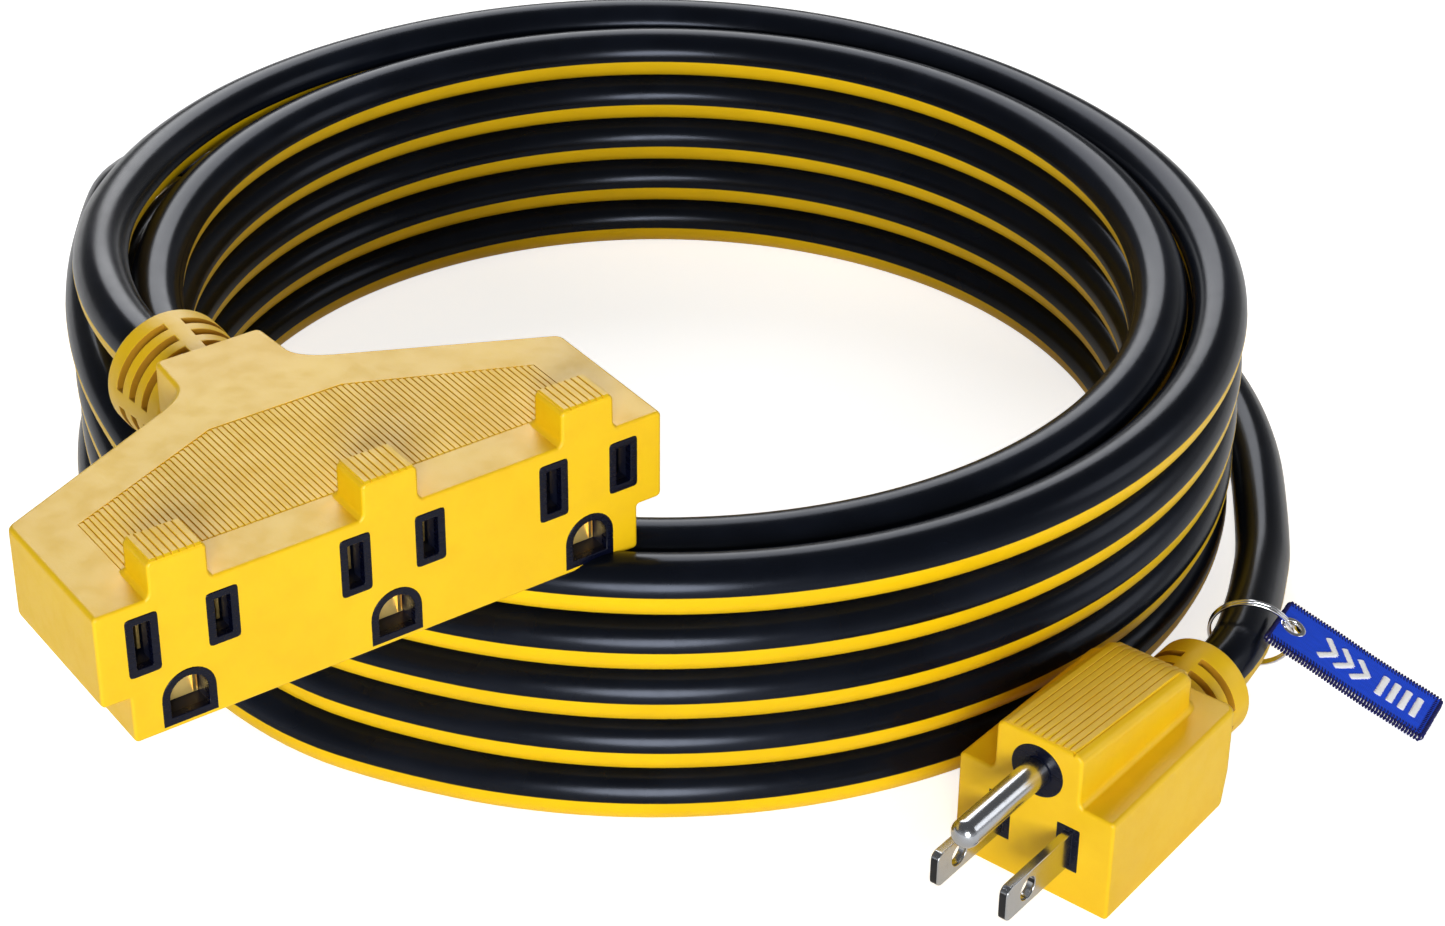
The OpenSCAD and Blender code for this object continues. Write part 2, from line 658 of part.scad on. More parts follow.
module plug_neutral_wire() color("white") at_plug() tube(plug_core_path(0), core_d, 8);
module plug_hot_wire() color("black") at_plug() tube(plug_core_path(1), core_d, 8);
module plug_ground_wire() color("green") at_plug() tube(plug_core_path(2), core_d, 8);

module plug_crimps() color("silver") at_plug()
    for (c = plug_core_targets())
        translate([c[0], 0, c[1]]) difference() {
            rod(core_d / 2 + crimp_t, plug_carrier_back, plug_carrier_back + plug_crimp_len);
            rod(core_d / 2 + 0.02, plug_carrier_back - over, plug_carrier_back + plug_crimp_len + over);
        }

module plug_jacket_end() color("black") at_plug()
    translate([0, 0, plug_axis]) rod(cord_r, plug_jacket_y, plug_len + plug_sleeve_len);

// ---- Split ring and tag ----
// Two turns of wire side by side around the cord
module split_ring() color("silver") at_coil() translate(ring_place)
    rotate([0, 0, ring_yaw]) rotate([0, -ring_rise, 0]) rotate([ring_lean - 90, 0, 0])
        rotate_extrude($fn = 96)
            translate([split_ring_d / 2, -ring_wire_d]) square([ring_wire_d, 2 * ring_wire_d]);

module tag_plate(inset, t) {
    w = tag_w - 2 * inset;
    translate([inset - eyelet_inset, -w / 2, -t / 2]) cube([tag_len - 2 * inset, w, t]);
}

module tag_fabric() color("royalblue") at_tag() difference() {
    tag_plate(border_w, tag_t);
    cylinder(d = eyelet_d + 2 * eyelet_t, h = 2 * tag_t, center = true);
}

module tag_edge() color("midnightblue") at_tag() difference() {
    tag_plate(0, tag_t + 2 * border_rise);
    tag_plate(border_w, 2 * tag_t);
}

module tag_eyelet() color("silver") at_tag() rotate_extrude() {
    r = eyelet_d / 2;
    translate([r, -tag_t / 2 - eyelet_t]) square([eyelet_t, tag_t + 2 * eyelet_t]);
    for (z = [-tag_t / 2 - eyelet_t, tag_t / 2])
        translate([r, z]) square([eyelet_rim, eyelet_t]);
}

tap_body();
tap_strain_relief();
contact_carrier();
carrier_cover();
neutral_bus();
hot_bus();
ground_bus();
tap_crimps();
tap_neutral_wire();
tap_hot_wire();
tap_ground_wire();
tap_jacket_end();
cord_coil();
cord_tap_lead();
cord_plug_lead();
plug_body();
plug_strain_relief();
blade_carrier();
neutral_blade();
hot_blade();
ground_pin();
plug_crimps();
plug_neutral_wire();
plug_hot_wire();
plug_ground_wire();
plug_jacket_end();
split_ring();
tag_eyelet();
tag_fabric();
tag_edge();
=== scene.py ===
"""Extension cord: a three-outlet tap, a coiled two-colour cord, a grounded plug and a woven tag."""

import math
from contextlib import contextmanager

import bmesh
import bpy
import numpy as np
from bpy.props import FloatProperty, FloatVectorProperty, IntProperty, PointerProperty
from mathutils import Matrix, Vector


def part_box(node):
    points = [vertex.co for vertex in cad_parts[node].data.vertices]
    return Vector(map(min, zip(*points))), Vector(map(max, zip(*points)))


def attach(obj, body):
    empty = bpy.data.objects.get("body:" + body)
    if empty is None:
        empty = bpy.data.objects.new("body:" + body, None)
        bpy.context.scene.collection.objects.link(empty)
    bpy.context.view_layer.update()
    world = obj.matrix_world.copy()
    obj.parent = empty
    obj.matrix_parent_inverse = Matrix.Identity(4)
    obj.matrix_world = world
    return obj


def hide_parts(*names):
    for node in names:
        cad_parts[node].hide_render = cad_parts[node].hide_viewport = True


bl_info = {
    "name": "Extension Cord",
    "version": (1, 0, 0),
    "blender": (4, 5, 0),
    "location": "3D View > Sidebar > Cord",
    "description": "Builds a coiled extension cord with its tap, plug and tag",
    "category": "Object",
}

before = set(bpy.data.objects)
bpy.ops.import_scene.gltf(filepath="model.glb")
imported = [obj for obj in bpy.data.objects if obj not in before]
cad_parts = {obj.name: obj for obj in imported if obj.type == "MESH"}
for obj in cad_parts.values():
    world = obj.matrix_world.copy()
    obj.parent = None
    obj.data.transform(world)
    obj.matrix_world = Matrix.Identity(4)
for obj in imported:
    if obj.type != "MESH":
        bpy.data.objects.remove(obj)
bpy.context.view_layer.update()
MM = 0.001


# ---- Frames of the main parts, in millimetres ----
COIL_LOW, COIL_HIGH = (np.array(c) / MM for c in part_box("cord_coil"))
COIL_AXIS = (COIL_LOW + COIL_HIGH) / 2
FLOOR = COIL_LOW[2]
COIL_AT = Matrix.Translation((COIL_AXIS[0], COIL_AXIS[1], FLOOR))
# Radii of the two columns of turns, at the cord's centre
COIL_R_OUT, COIL_R_IN = 102.3, 91.7
# The tap and the plug have their origins in their faces, this far above their undersides
TAP_DROP, PLUG_DROP = 16.4, 10.7
TAP_LOW = np.array(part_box("tap_body")[0]) / MM
TAP_AT = Matrix.Translation((0, TAP_LOW[1], TAP_LOW[2] + TAP_DROP))
# The plug's angle about the coil and the way it points, and how far out it stands
PLUG_ANGLE, PLUG_YAW = math.radians(-98.8), math.radians(-74.3)
PLUG_R = COIL_R_OUT + 31.6
PLUG_AT = (
    COIL_AT
    @ Matrix.Translation((PLUG_R * math.cos(PLUG_ANGLE), PLUG_R * math.sin(PLUG_ANGLE), PLUG_DROP))
    @ Matrix.Rotation(PLUG_YAW, 4, "Z")
)


def turned(place, yaw, pitch, roll):
    """A place beside the coil, turned about Z, then Y, then X."""
    turn = (
        Matrix.Rotation(math.radians(yaw), 4, "Z")
        @ Matrix.Rotation(math.radians(pitch), 4, "Y")
        @ Matrix.Rotation(math.radians(roll), 4, "X")
    )
    return COIL_AT @ Matrix.Translation(place) @ turn


TAG_AT = turned((50.17, -117.65, 11.41), -65, 20.5, -4.5)
RING_AT = turned((46.18, -112.14, 9.1), -53, -18, -80)


# ---- The cord's route, as in the part's source ----
# Angle about the coil, distance beyond the outer column, height over the top turn's centre
TAP_LEAD = [
    (180.7, 0, 16.1), (178, -0.1, 15.9), (172, -0.5, 15.2), (162, -1.2, 13.8), (150, -1.8, 11.2),
    (138, -2, 8.6), (125, -1.3, 6.2), (110, -0.3, 4.4), (92, 0, 3.2), (74, 0, 2.6), (56, 0, 2.1),
    (38, 0, 1.4), (20, 0, 0.5), (4, 0, 0),
]
# Angle, distance beyond the outer column, share of the way down
PLUG_DROP_ROUTE = [
    (175, 0, 0), (170, 0.1, 0), (162, 0.2, 0), (156, 0.4, 0), (150, 0.8, 0), (144, 1.6, 0),
    (138, 2.9, 0), (132, 4.9, 0), (126, 7.2, 0.05), (120, 9.2, 0.14), (114, 10.4, 0.29),
    (108, 10.8, 0.45), (101, 10.8, 0.62), (94, 10.7, 0.78), (87, 10.6, 0.9), (80, 10.6, 0.97),
    (72, 10.6, 1),
]
# Angle, distance beyond the outer column, lift from the floor
PLUG_FLOOR_ROUTE = [
    (72, 10.6, 0), (66, 10.6, 0), *((a, 10.6, 0) for a in range(60, -31, -10)), (-38, 10.6, 0),
    (-43, 10.7, 0), (-48, 11.4, 0), (-53, 12.7, 0.3), (-58, 13.9, 1.1), (-62.5, 15.5, 2.2),
    (-66.5, 17.1, 3.2), (-70, 18.7, 3.9), (-73.3, 19.4, 4.2), (-76.1, 19.6, 4.2),
]
# The layer and the column, outer or inner, of each turn in winding order
TURN_LAYERS = np.array([0, 0, 1, 2, 3, 4, 4, 3, 2, 1, 0])
TURN_COLUMNS = np.array([1, -1, -1, -1, -1, -1, 1, 1, 1, 1, 1])
TURNS, LAYERS = 10, 5
# Angle about the coil at which a turn ends and the next begins
CROSSING_ANGLE = 186.26
# Degrees over which a turn climbs a layer, changes column and bulges to pass the other one
CLIMB, CHANGE, BULGE = 40, 50, 60
BULGE_BY = 48
# Points along the winding
STATIONS = 1030


# ---- Settings ----
class CordSettings(bpy.types.PropertyGroup):
    diameter: FloatProperty(
        name="Diameter", description="Diameter of the cord's jacket", default=0.0098, unit="LENGTH"
    )
    sides: IntProperty(name="Sides", description="Faces around the cord", default=24)
    black: FloatVectorProperty(
        name="Black", description="Colour of the jacket's upper half",
        default=(0.003, 0.004, 0.007), size=3, subtype="COLOR",
    )
    yellow: FloatVectorProperty(
        name="Yellow", description="Colour of the jacket's lower half",
        default=(0.95, 0.6, 0.004), size=3, subtype="COLOR",
    )


class CasingSettings(bpy.types.PropertyGroup):
    yellow: FloatVectorProperty(
        name="Yellow", description="Colour of the moulded casings",
        default=(0.95, 0.6, 0.004), size=3, subtype="COLOR",
    )
    shade: FloatVectorProperty(
        name="Shade", description="Deeper tone of the casings",
        default=(0.9, 0.54, 0.004), size=3, subtype="COLOR",
    )
    edge: FloatProperty(
        name="Edge radius", description="Rounding of the casings' edges",
        default=0.0008, unit="LENGTH",
    )
    rib_pitch: FloatProperty(
        name="Rib pitch", description="Spacing of the fine ribs", default=0.000995, unit="LENGTH"
    )
    rib_count: IntProperty(name="Ribs", description="Number of fine ribs on the tap", default=79)
    tab_ridges: IntProperty(name="Tab ridges", description="Ridges on each finger tab", default=7)
    grip_bars: IntProperty(name="Grip bars", description="Bars along the plug's ridge", default=10)


class MetalSettings(bpy.types.PropertyGroup):
    plate: FloatVectorProperty(
        name="Plating", description="Colour of the plated blades and pin",
        default=(0.52, 0.54, 0.58), size=3, subtype="COLOR",
    )
    brass: FloatVectorProperty(
        name="Brass", description="Colour of the contacts",
        default=(0.92, 0.66, 0.22), size=3, subtype="COLOR",
    )


class TagSettings(bpy.types.PropertyGroup):
    cloth: FloatVectorProperty(
        name="Cloth", description="Colour of the woven tag",
        default=(0.002, 0.05, 0.62), size=3, subtype="COLOR",
    )
    border: FloatVectorProperty(
        name="Border", description="Colour of the overlocked border",
        default=(0.001, 0.003, 0.035), size=3, subtype="COLOR",
    )
    length: FloatProperty(
        name="Length", description="Length of the tag", default=0.031, unit="LENGTH"
    )
    width: FloatProperty(
        name="Width", description="Width of the tag", default=0.0136, unit="LENGTH"
    )
    stitch: FloatProperty(
        name="Stitch", description="Spacing of the border's stitches",
        default=0.00058, unit="LENGTH",
    )


class StageSettings(bpy.types.PropertyGroup):
    floor_size: FloatProperty(
        name="Floor", description="Width of the floor", default=8.0, unit="LENGTH"
    )
    key: FloatProperty(
        name="Key light", description="Power of the front light", default=20.5, unit="POWER"
    )
    back: FloatProperty(
        name="Back light", description="Power of the soft light behind", default=14.5, unit="POWER"
    )
    ambient: FloatProperty(
        name="Ceiling", description="Strength of the room's light from above", default=0.12
    )
    horizon: FloatProperty(
        name="Walls", description="Strength of the room's light from its walls", default=0.45
    )


SETTINGS = {
    "cord": CordSettings,
    "casing": CasingSettings,
    "metal": MetalSettings,
    "tag": TagSettings,
    "stage": StageSettings,
}


def settings(name):
    """The scene's settings of that group."""
    return getattr(bpy.context.scene, "extension_" + name)


# ---- Node trees ----
def both_ways(operation):
    """A Math node as a method of two values, and the same with the two swapped."""
    return (
        lambda first, second: first.math(operation, first, second),
        lambda first, second: first.math(operation, second, first),
    )


class Link:
    """A socket that sums can be written with."""

    __add__, __radd__ = both_ways("ADD")
    __sub__, __rsub__ = both_ways("SUBTRACT")
    __mul__, __rmul__ = both_ways("MULTIPLY")
    __truediv__ = both_ways("DIVIDE")[0]
    __pow__ = both_ways("POWER")[0]
    over = both_ways("GREATER_THAN")[0]
    lower = both_ways("MINIMUM")[0]
    upper = both_ways("MAXIMUM")[0]

    def __init__(self, recipe, socket):
        self.recipe = recipe
        self.socket = socket

    def math(self, operation, *values):
        node = self.recipe.node("ShaderNodeMath", {"operation": operation}, dict(enumerate(values)))
        return node[0]

    def __abs__(self):
        return self.math("ABSOLUTE", self)

    def sine(self):
        return self.math("SINE", self)

    def ramp(self, start, end, low=0.0, high=1.0, smooth=True):
        """The value eased from low to high while it goes from start to end."""
        kind = "SMOOTHSTEP" if smooth else "LINEAR"
        values = {0: self, 1: start, 2: end, 3: low, 4: high}
        return self.recipe.node("ShaderNodeMapRange", {"interpolation_type": kind}, values)[0]


class NodeBox:
    """A made node whose outputs are read by name or place."""

    def __init__(self, recipe, node):
        self.recipe = recipe
        self.node = node

    def __getitem__(self, key):
        return Link(self.recipe, self.node.outputs[key])


class Recipe:
    """The nodes of one tree."""

    def __init__(self, tree):
        self.tree = tree

    def node(self, kind, choices=None, values=None):
        node = self.tree.nodes.new(kind)
        for key, value in (choices or {}).items():
            setattr(node, key, value)
        for key, value in (values or {}).items():
            self.put(value, node.inputs[key])
        return NodeBox(self, node)

    def put(self, value, socket):
        if isinstance(value, Link):
            self.tree.links.new(value.socket, socket)
        elif hasattr(value, "__len__") and len(value) == 3 and socket.type == "RGBA":
            socket.default_value = (*value, 1)
        else:
            socket.default_value = value

    def blend(self, share, first, second):
        """A colour between two colours."""
        node = self.node("ShaderNodeMix", {"data_type": "RGBA"}, {0: share})
        self.put(first, node.node.inputs[6])
        self.put(second, node.node.inputs[7])
        return node[2]


class Finish(Recipe):
    """One material, with its surface made by a Principled shader."""

    def __init__(self, name, **constants):
        self.material = bpy.data.materials.new(name)
        self.material.use_nodes = True
        super().__init__(self.material.node_tree)
        self.shader = self.tree.nodes["Principled BSDF"]
        self.set(constants)
        self.place = self.node("ShaderNodeTexCoord")["Object"]

    def set(self, values):
        for key, value in values.items():
            self.put(value, self.shader.inputs[key.replace("_", " ")])

    def noise(self, scale, detail=2.0, rough=0.5, at=None, stretch=None):
        at = at or self.place
        if stretch:
            at = self.node("ShaderNodeMapping", {}, {"Vector": at, "Scale": stretch})[0]
        values = {"Vector": at, "Scale": scale, "Detail": detail, "Roughness": rough}
        return self.node("ShaderNodeTexNoise", {}, values)["Fac"]

    def bump(self, height, strength, distance):
        values = {"Strength": strength, "Distance": distance, "Height": height}
        return self.node("ShaderNodeBump", {}, values)["Normal"]

    def parts(self, vector):
        return self.node("ShaderNodeSeparateXYZ", {}, {0: vector})


def casing_finish(name, low, high, rough):
    """Moulded vinyl: faint flow marks, a fine eggshell grain and rubbed patches."""
    f = Finish(name, Specular_IOR_Level=0.5)
    flow = f.noise(55, 3, 0.55)
    patches = f.noise(210, 4, 0.6)
    grain = f.noise(2600, 2, 0.6)
    pits = f.noise(900, 3, 0.6)
    tone = flow.ramp(0.3, 0.7) * 0.6 + patches.ramp(0.35, 0.75) * 0.4
    worn = rough + patches.ramp(0.3, 0.8, -0.05, 0.08)
    f.set({"Base_Color": f.blend(tone, high, low)})
    f.set({"Roughness": worn + grain.ramp(0.2, 0.8, -0.03, 0.03)})
    f.set({"Normal": f.bump(grain * 0.6 + pits * 0.4, 0.16, 0.00012)})
    return f.material


def gloss_finish(name, colour, rough, shine=0.5):
    """Hard glossy plastic with hairline scuffs."""
    f = Finish(name, Specular_IOR_Level=shine)
    scuffs = f.noise(420, 4, 0.65, stretch=(1, 1, 4))
    dust = f.noise(1800, 2)
    paler = tuple(min(1, c * 1.6 + 0.0012) for c in colour)
    f.set({"Base_Color": f.blend(scuffs.ramp(0.45, 0.8, 0, 0.6), colour, paler)})
    f.set({"Roughness": rough + scuffs.ramp(0.4, 0.8, 0, 0.14)})
    f.set({"Normal": f.bump(dust * 0.5 + scuffs * 0.5, 0.08, 0.0001)})
    return f.material


def metal_finish(name, colour, rough, streak=(60, 1, 60)):
    """Metal with fine streaks along its drawing direction."""
    f = Finish(name, Metallic=1.0)
    streaks = f.noise(90, 3, 0.6, stretch=streak)
    specks = f.noise(700, 3, 0.6)
    dull = tuple(c * 0.8 for c in colour)
    drawn = rough + streaks.ramp(0.3, 0.8, -0.02, 0.05)
    f.set({"Base_Color": f.blend(specks.ramp(0.5, 0.85, 0, 0.35), colour, dull)})
    f.set({"Roughness": drawn + specks.ramp(0.5, 0.8, 0, 0.04)})
    f.set({"Normal": f.bump(streaks, 0.03, 0.00002)})
    return f.material


# Shares of the way round the jacket at which its black begins and ends, from its underside
BLACK_FROM, BLACK_TO = 0.244, 0.736


def cord_finish(name):
    """Two-colour vinyl jacket: black above, yellow below, read along the cord's own map."""
    s = settings("cord")
    # The bluish specular tint paints a blue cast into the jacket's highlights: a painted reflection
    # of a bluish room
    f = Finish(name, Specular_IOR_Level=0.22, Specular_Tint=(0.72, 0.8, 1))
    uv = f.node("ShaderNodeUVMap", {"uv_map": "cord"})[0]
    around = f.parts(uv)[1]
    wander = f.noise(18, 2, at=uv, stretch=(1, 0, 0)) * 0.008
    section = around + wander - 0.004
    soft = 0.003
    starts = section.ramp(BLACK_FROM - soft, BLACK_FROM + soft)
    stops = section.ramp(BLACK_TO - soft, BLACK_TO + soft)
    black = starts * (1 - stops)
    scuffs = f.noise(260, 4, 0.65)
    rubs = f.noise(35, 3, 0.6)
    grain = f.noise(2200, 2)
    dark = f.blend(rubs.ramp(0.4, 0.75), tuple(s.black), tuple(c * 1.9 for c in s.black))
    bright = f.blend(rubs.ramp(0.35, 0.75), tuple(s.yellow), tuple(c * 0.88 for c in s.yellow))
    f.set({"Base_Color": f.blend(black, bright, dark)})
    f.set({"Roughness": black.ramp(0, 1, 0.38, 0.22) + scuffs.ramp(0.4, 0.8, 0, 0.05)})
    beside = abs(section - BLACK_FROM).lower(abs(section - BLACK_TO))
    seam = 1 - beside.ramp(0, 0.006)
    f.set({"Normal": f.bump(grain * 0.2 + scuffs * 0.1 - seam * 0.5, 0.08, 0.00012)})
    return f.material


def jacket_end_finish(name, middle):
    """The jacket's two colours where it runs inside a sleeve, split at a height in metres."""
    s = settings("cord")
    f = Finish(name, Specular_IOR_Level=0.5)
    height = f.parts(f.place)[2]
    scuffs = f.noise(300, 3)
    share = (height - middle).ramp(-0.0002, 0.0002)
    f.set({"Base_Color": f.blend(share, tuple(s.yellow), tuple(s.black))})
    f.set({"Roughness": 0.24 + scuffs.ramp(0.4, 0.8, 0, 0.12)})
    f.set({"Normal": f.bump(scuffs, 0.08, 0.0001)})
    return f.material


def cloth_finish(name, colour, paler, pitch):
    """Plain weave on a piece's own flat map, with slubs and fibre fuzz."""
    f = Finish(name, Sheen_Weight=0.06, Sheen_Roughness=0.5, Specular_IOR_Level=0.15)
    uv = f.node("ShaderNodeUVMap", {"uv_map": "cloth"})[0]
    place = f.parts(uv)
    across, along = place[0], place[1]
    turn = math.tau / pitch
    warp = (across * turn).sine()
    weft = (along * turn).sine()
    over = (warp * weft).ramp(-0.4, 0.4)
    height = over * abs(warp) + (1 - over) * abs(weft)
    fuzz = f.noise(3500, 3)
    slub = f.noise(300, 2, at=uv, stretch=(1, 6, 1))
    # Raised threads lean to the paler colour and the weave's hollows to the darker one: painted
    # shade in the hollows, with slubs and fuzz as the cloth's own tone
    tone = height * 0.55 + slub.ramp(0.3, 0.7, 0, 0.3) + fuzz * 0.15
    f.set({"Base_Color": f.blend(tone, colour, paler)})
    f.set({"Roughness": 0.74 + fuzz.ramp(0.3, 0.8, 0, 0.15)})
    f.set({"Normal": f.bump(height * 0.8 + fuzz * 0.2, 0.6, 0.00006)})
    return f.material


def thread_finish(name, colour, paler):
    """Twisted thread: fine strands with a soft shine."""
    f = Finish(name, Sheen_Weight=0.05, Sheen_Roughness=0.4, Specular_IOR_Level=0.2)
    twist = f.noise(9000, 2, stretch=(1, 1, 0.4))
    wear = f.noise(500, 3)
    f.set({"Base_Color": f.blend(twist.ramp(0.3, 0.7), colour, paler)})
    f.set({"Roughness": 0.5 + wear.ramp(0.3, 0.8, 0, 0.2)})
    f.set({"Normal": f.bump(twist, 0.4, 0.00004)})
    return f.material


MATERIALS = {}


def material(name):
    """The finish of that name, made when it is first used."""
    if name in MATERIALS:
        return MATERIALS[name]
    casing, metal, tag = settings("casing"), settings("metal"), settings("tag")
    yellow, shade = tuple(casing.yellow), tuple(casing.shade)
    plate, brass = tuple(metal.plate), tuple(metal.brass)
    cloth, border = tuple(tag.cloth), tuple(tag.border)
    tap_middle = (TAP_AT.translation[2] + TAP_AXIS) * MM
    plug_middle = (PLUG_AT.translation[2] + PLUG_AXIS) * MM
    recipes = {
        "casing_yellow": (casing_finish, shade, yellow, 0.42),
        "rib_yellow": (casing_finish, shade, yellow, 0.46),
        # Darker ochre for the sleeves' slot floors and walls: painted shade in the recesses
        "slot_ochre": (casing_finish, (0.42, 0.2, 0.01), (0.55, 0.28, 0.012), 0.5),
        "rim_navy": (gloss_finish, (0.0012, 0.002, 0.01), 0.26, 0.24),
        "carrier_navy": (gloss_finish, (0.006, 0.008, 0.022), 0.34),
        "cover_navy": (gloss_finish, (0.01, 0.014, 0.04), 0.4),
        "contact_brass": (metal_finish, brass, 0.42, (1, 50, 50)),
        "leaf_brass": (metal_finish, (0.95, 0.7, 0.24), 0.48, (1, 1, 30)),
        "cut_steel": (metal_finish, (0.05, 0.05, 0.055), 0.4),
        "crimp_steel": (metal_finish, (0.6, 0.6, 0.62), 0.28),
        "blade_plating": (metal_finish, plate, 0.2, (40, 1, 40)),
        "ring_steel": (metal_finish, (0.84, 0.85, 0.88), 0.12, (1, 1, 1)),
        "core_white": (gloss_finish, (0.8, 0.8, 0.77), 0.4),
        "core_black": (gloss_finish, (0.01, 0.01, 0.012), 0.35),
        "core_green": (gloss_finish, (0.01, 0.2, 0.05), 0.38),
        "cord_two_tone": (cord_finish,),
        "tap_jacket": (jacket_end_finish, tap_middle),
        "plug_jacket": (jacket_end_finish, plug_middle),
        "tag_cloth": (cloth_finish, cloth, (0.005, 0.085, 0.92), 0.00062),
        "border_thread": (thread_finish, border, (0.012, 0.012, 0.16)),
        "white_thread": (thread_finish, (0.93, 0.94, 0.96), (1.0, 1.0, 1.0)),
    }
    maker, *values = recipes[name]
    MATERIALS[name] = maker(name, *values)
    return MATERIALS[name]


# ---- Mesh making, in millimetres ----
def rounded(corners, radii, steps=4):
    """A closed outline with its corners turned into arcs."""
    out = []
    count = len(corners)
    for i, corner in enumerate(corners):
        p, radius = Vector(corner), radii[i]
        if not radius:
            out.append((p.x, p.y))
            continue
        u = (Vector(corners[i - 1]) - p).normalized()
        v = (Vector(corners[(i + 1) % count]) - p).normalized()
        half = u.angle(v) / 2
        first = p + u * (radius / math.tan(half))
        last = p + v * (radius / math.tan(half))
        middle = p + (u + v).normalized() * (radius / math.sin(half))
        start = math.atan2(first.y - middle.y, first.x - middle.x)
        sweep = math.atan2(last.y - middle.y, last.x - middle.x) - start
        sweep = (sweep + math.pi) % math.tau - math.pi
        for k in range(steps + 1):
            a = start + sweep * k / steps
            out.append((middle.x + radius * math.cos(a), middle.y + radius * math.sin(a)))
    return out


def inset(outline, distance):
    """The outline moved inwards; it runs counter-clockwise."""
    p = np.array(outline, float)

    def normals(step):
        size = np.maximum(np.linalg.norm(step, axis=1), 1e-9)
        return np.c_[-step[:, 1], step[:, 0]] / size[:, None]

    before = normals(p - np.roll(p, 1, 0))
    n = before + normals(np.roll(p, -1, 0) - p)
    return p + n * (distance / np.maximum((n * before).sum(1), 0.5))[:, None]


def stack(levels, wrap=False):
    """Corners and faces of a skin through closed loops of equally many points."""
    size, count = len(levels[0]), len(levels)
    corners = [tuple(map(float, p)) for level in levels for p in level]
    faces = []
    for i in range(count if wrap else count - 1):
        a, b = i * size, (i + 1) % count * size
        for k in range(size):
            j = (k + 1) % size
            faces.append((a + k, a + j, b + j, b + k))
    if not wrap:
        faces.append(tuple(range(size))[::-1])
        faces.append(tuple(range((count - 1) * size, count * size)))
    return corners, faces


def merge(*parts):
    """Several sets of corners and faces as one."""
    corners, faces = [], []
    for more, skin in parts:
        faces += [tuple(i + len(corners) for i in face) for face in skin]
        corners += list(more)
    return corners, faces


def oblong(x0, x1, y0, y1):
    """Corners of a rectangle, counter-clockwise."""
    return [(x0, y0), (x1, y0), (x1, y1), (x0, y1)]


def at_y(outline, y):
    """A loop from an outline [x, z]."""
    return [(x, y, z) for x, z in outline]


def at_z(outline, z):
    """A loop from an outline [x, y]."""
    return [(x, y, z) for x, y in outline]


def upright(outline, y0, y1):
    """A prism whose outline is [x, z], from y0 to y1."""
    return stack([at_y(outline, y) for y in (y0, y1)])


def prism(outline, z0, z1):
    """A prism whose outline is [x, y], from z0 to z1."""
    return stack([at_z(outline, z) for z in (z0, z1)])


def block(width, y0, y1, z0, z1):
    """A box with its middle at x = 0."""
    return upright(oblong(-width / 2, width / 2, z0, z1), y0, y1)


def circle(radius, sides, x=0.0, z=0.0):
    """Outline of a round form."""
    angles = [math.tau * k / sides for k in range(sides)]
    return [(x + radius * math.cos(a), z + radius * math.sin(a)) for a in angles]


def lathe(profile, sides, z=0.0, wrap=False):
    """A turned shape about Y; its profile is a row of [y, radius]."""
    return stack([at_y(circle(max(radius, 0), sides, z=z), y) for y, radius in profile], wrap)


def tube(path, radius, sides):
    """A round tube along a row of points, without twist."""
    p = np.array(path, float)
    t = np.gradient(p, axis=0)
    t /= np.linalg.norm(t, axis=1)[:, None]
    side = np.cross(t[0], (0.3, 0.2, 1))
    angles = np.arange(sides) * math.tau / sides
    levels = []
    for point, forward in zip(p, t):
        side = side - forward * (side @ forward)
        side /= np.linalg.norm(side)
        other = np.cross(forward, side)
        ring = np.outer(np.cos(angles), side) + np.outer(np.sin(angles), other)
        levels.append(point + radius * ring)
    return stack(levels)


# ---- Objects ----
def new_object(name, data):
    """An object of that name, linked to the scene."""
    obj = bpy.data.objects.new(name, data)
    bpy.context.scene.collection.objects.link(obj)
    return obj


@contextmanager
def editing(mesh):
    """The mesh opened for bmesh tools, and written back at the end."""
    bm = bmesh.new()
    bm.from_mesh(mesh)
    yield bm
    bm.to_mesh(mesh)
    bm.free()


def face_outwards(mesh):
    """Turns the faces of a closed mesh outwards."""
    with editing(mesh) as bm:
        bmesh.ops.recalc_face_normals(bm, faces=bm.faces)


# Corners closer than this are one, in millimetres
SAME_SPOT = 1e-4


def solid(name, shape, at=None):
    """A mesh object from corners in millimetres; a matrix puts it in the frame, in metres."""
    corners, faces = shape
    mesh = bpy.data.meshes.new(name)
    mesh.from_pydata(corners, [], faces)
    with editing(mesh) as bm:
        bmesh.ops.remove_doubles(bm, verts=bm.verts, dist=SAME_SPOT)
        bmesh.ops.dissolve_degenerate(bm, edges=bm.edges, dist=SAME_SPOT / 10)
        bmesh.ops.recalc_face_normals(bm, faces=bm.faces)
    obj = new_object(name, mesh)
    if at:
        place(obj, at, MM)
    return obj


def place(obj, at, scale=1.0):
    """Moves a mesh from a part's own axes to the frame, in metres."""
    matrix = at.copy()
    matrix.translation = at.translation * MM
    obj.data.transform(matrix @ Matrix.Scale(scale, 4))


def settled(obj):
    """The object with its modifiers made part of its mesh."""
    bpy.context.view_layer.update()
    graph = bpy.context.evaluated_depsgraph_get()
    made = bpy.data.meshes.new_from_object(obj.evaluated_get(graph))
    obj.modifiers.clear()
    obj.data = made
    return obj


def joined(obj, other, operation, messy=False):
    """The object after a boolean with another, which is removed."""
    mod = obj.modifiers.new("cut", "BOOLEAN")
    mod.operation = operation
    mod.solver = "EXACT"
    mod.use_self = messy
    mod.object = other
    settled(obj)
    bpy.data.objects.remove(other)
    return obj


def softened(obj, width, segments, angle):
    """The object with its sharp edges bevelled."""
    mod = obj.modifiers.new("edges", "BEVEL")
    mod.width, mod.segments = width, segments
    mod.limit_method, mod.angle_limit = "ANGLE", math.radians(angle)
    return settled(obj)


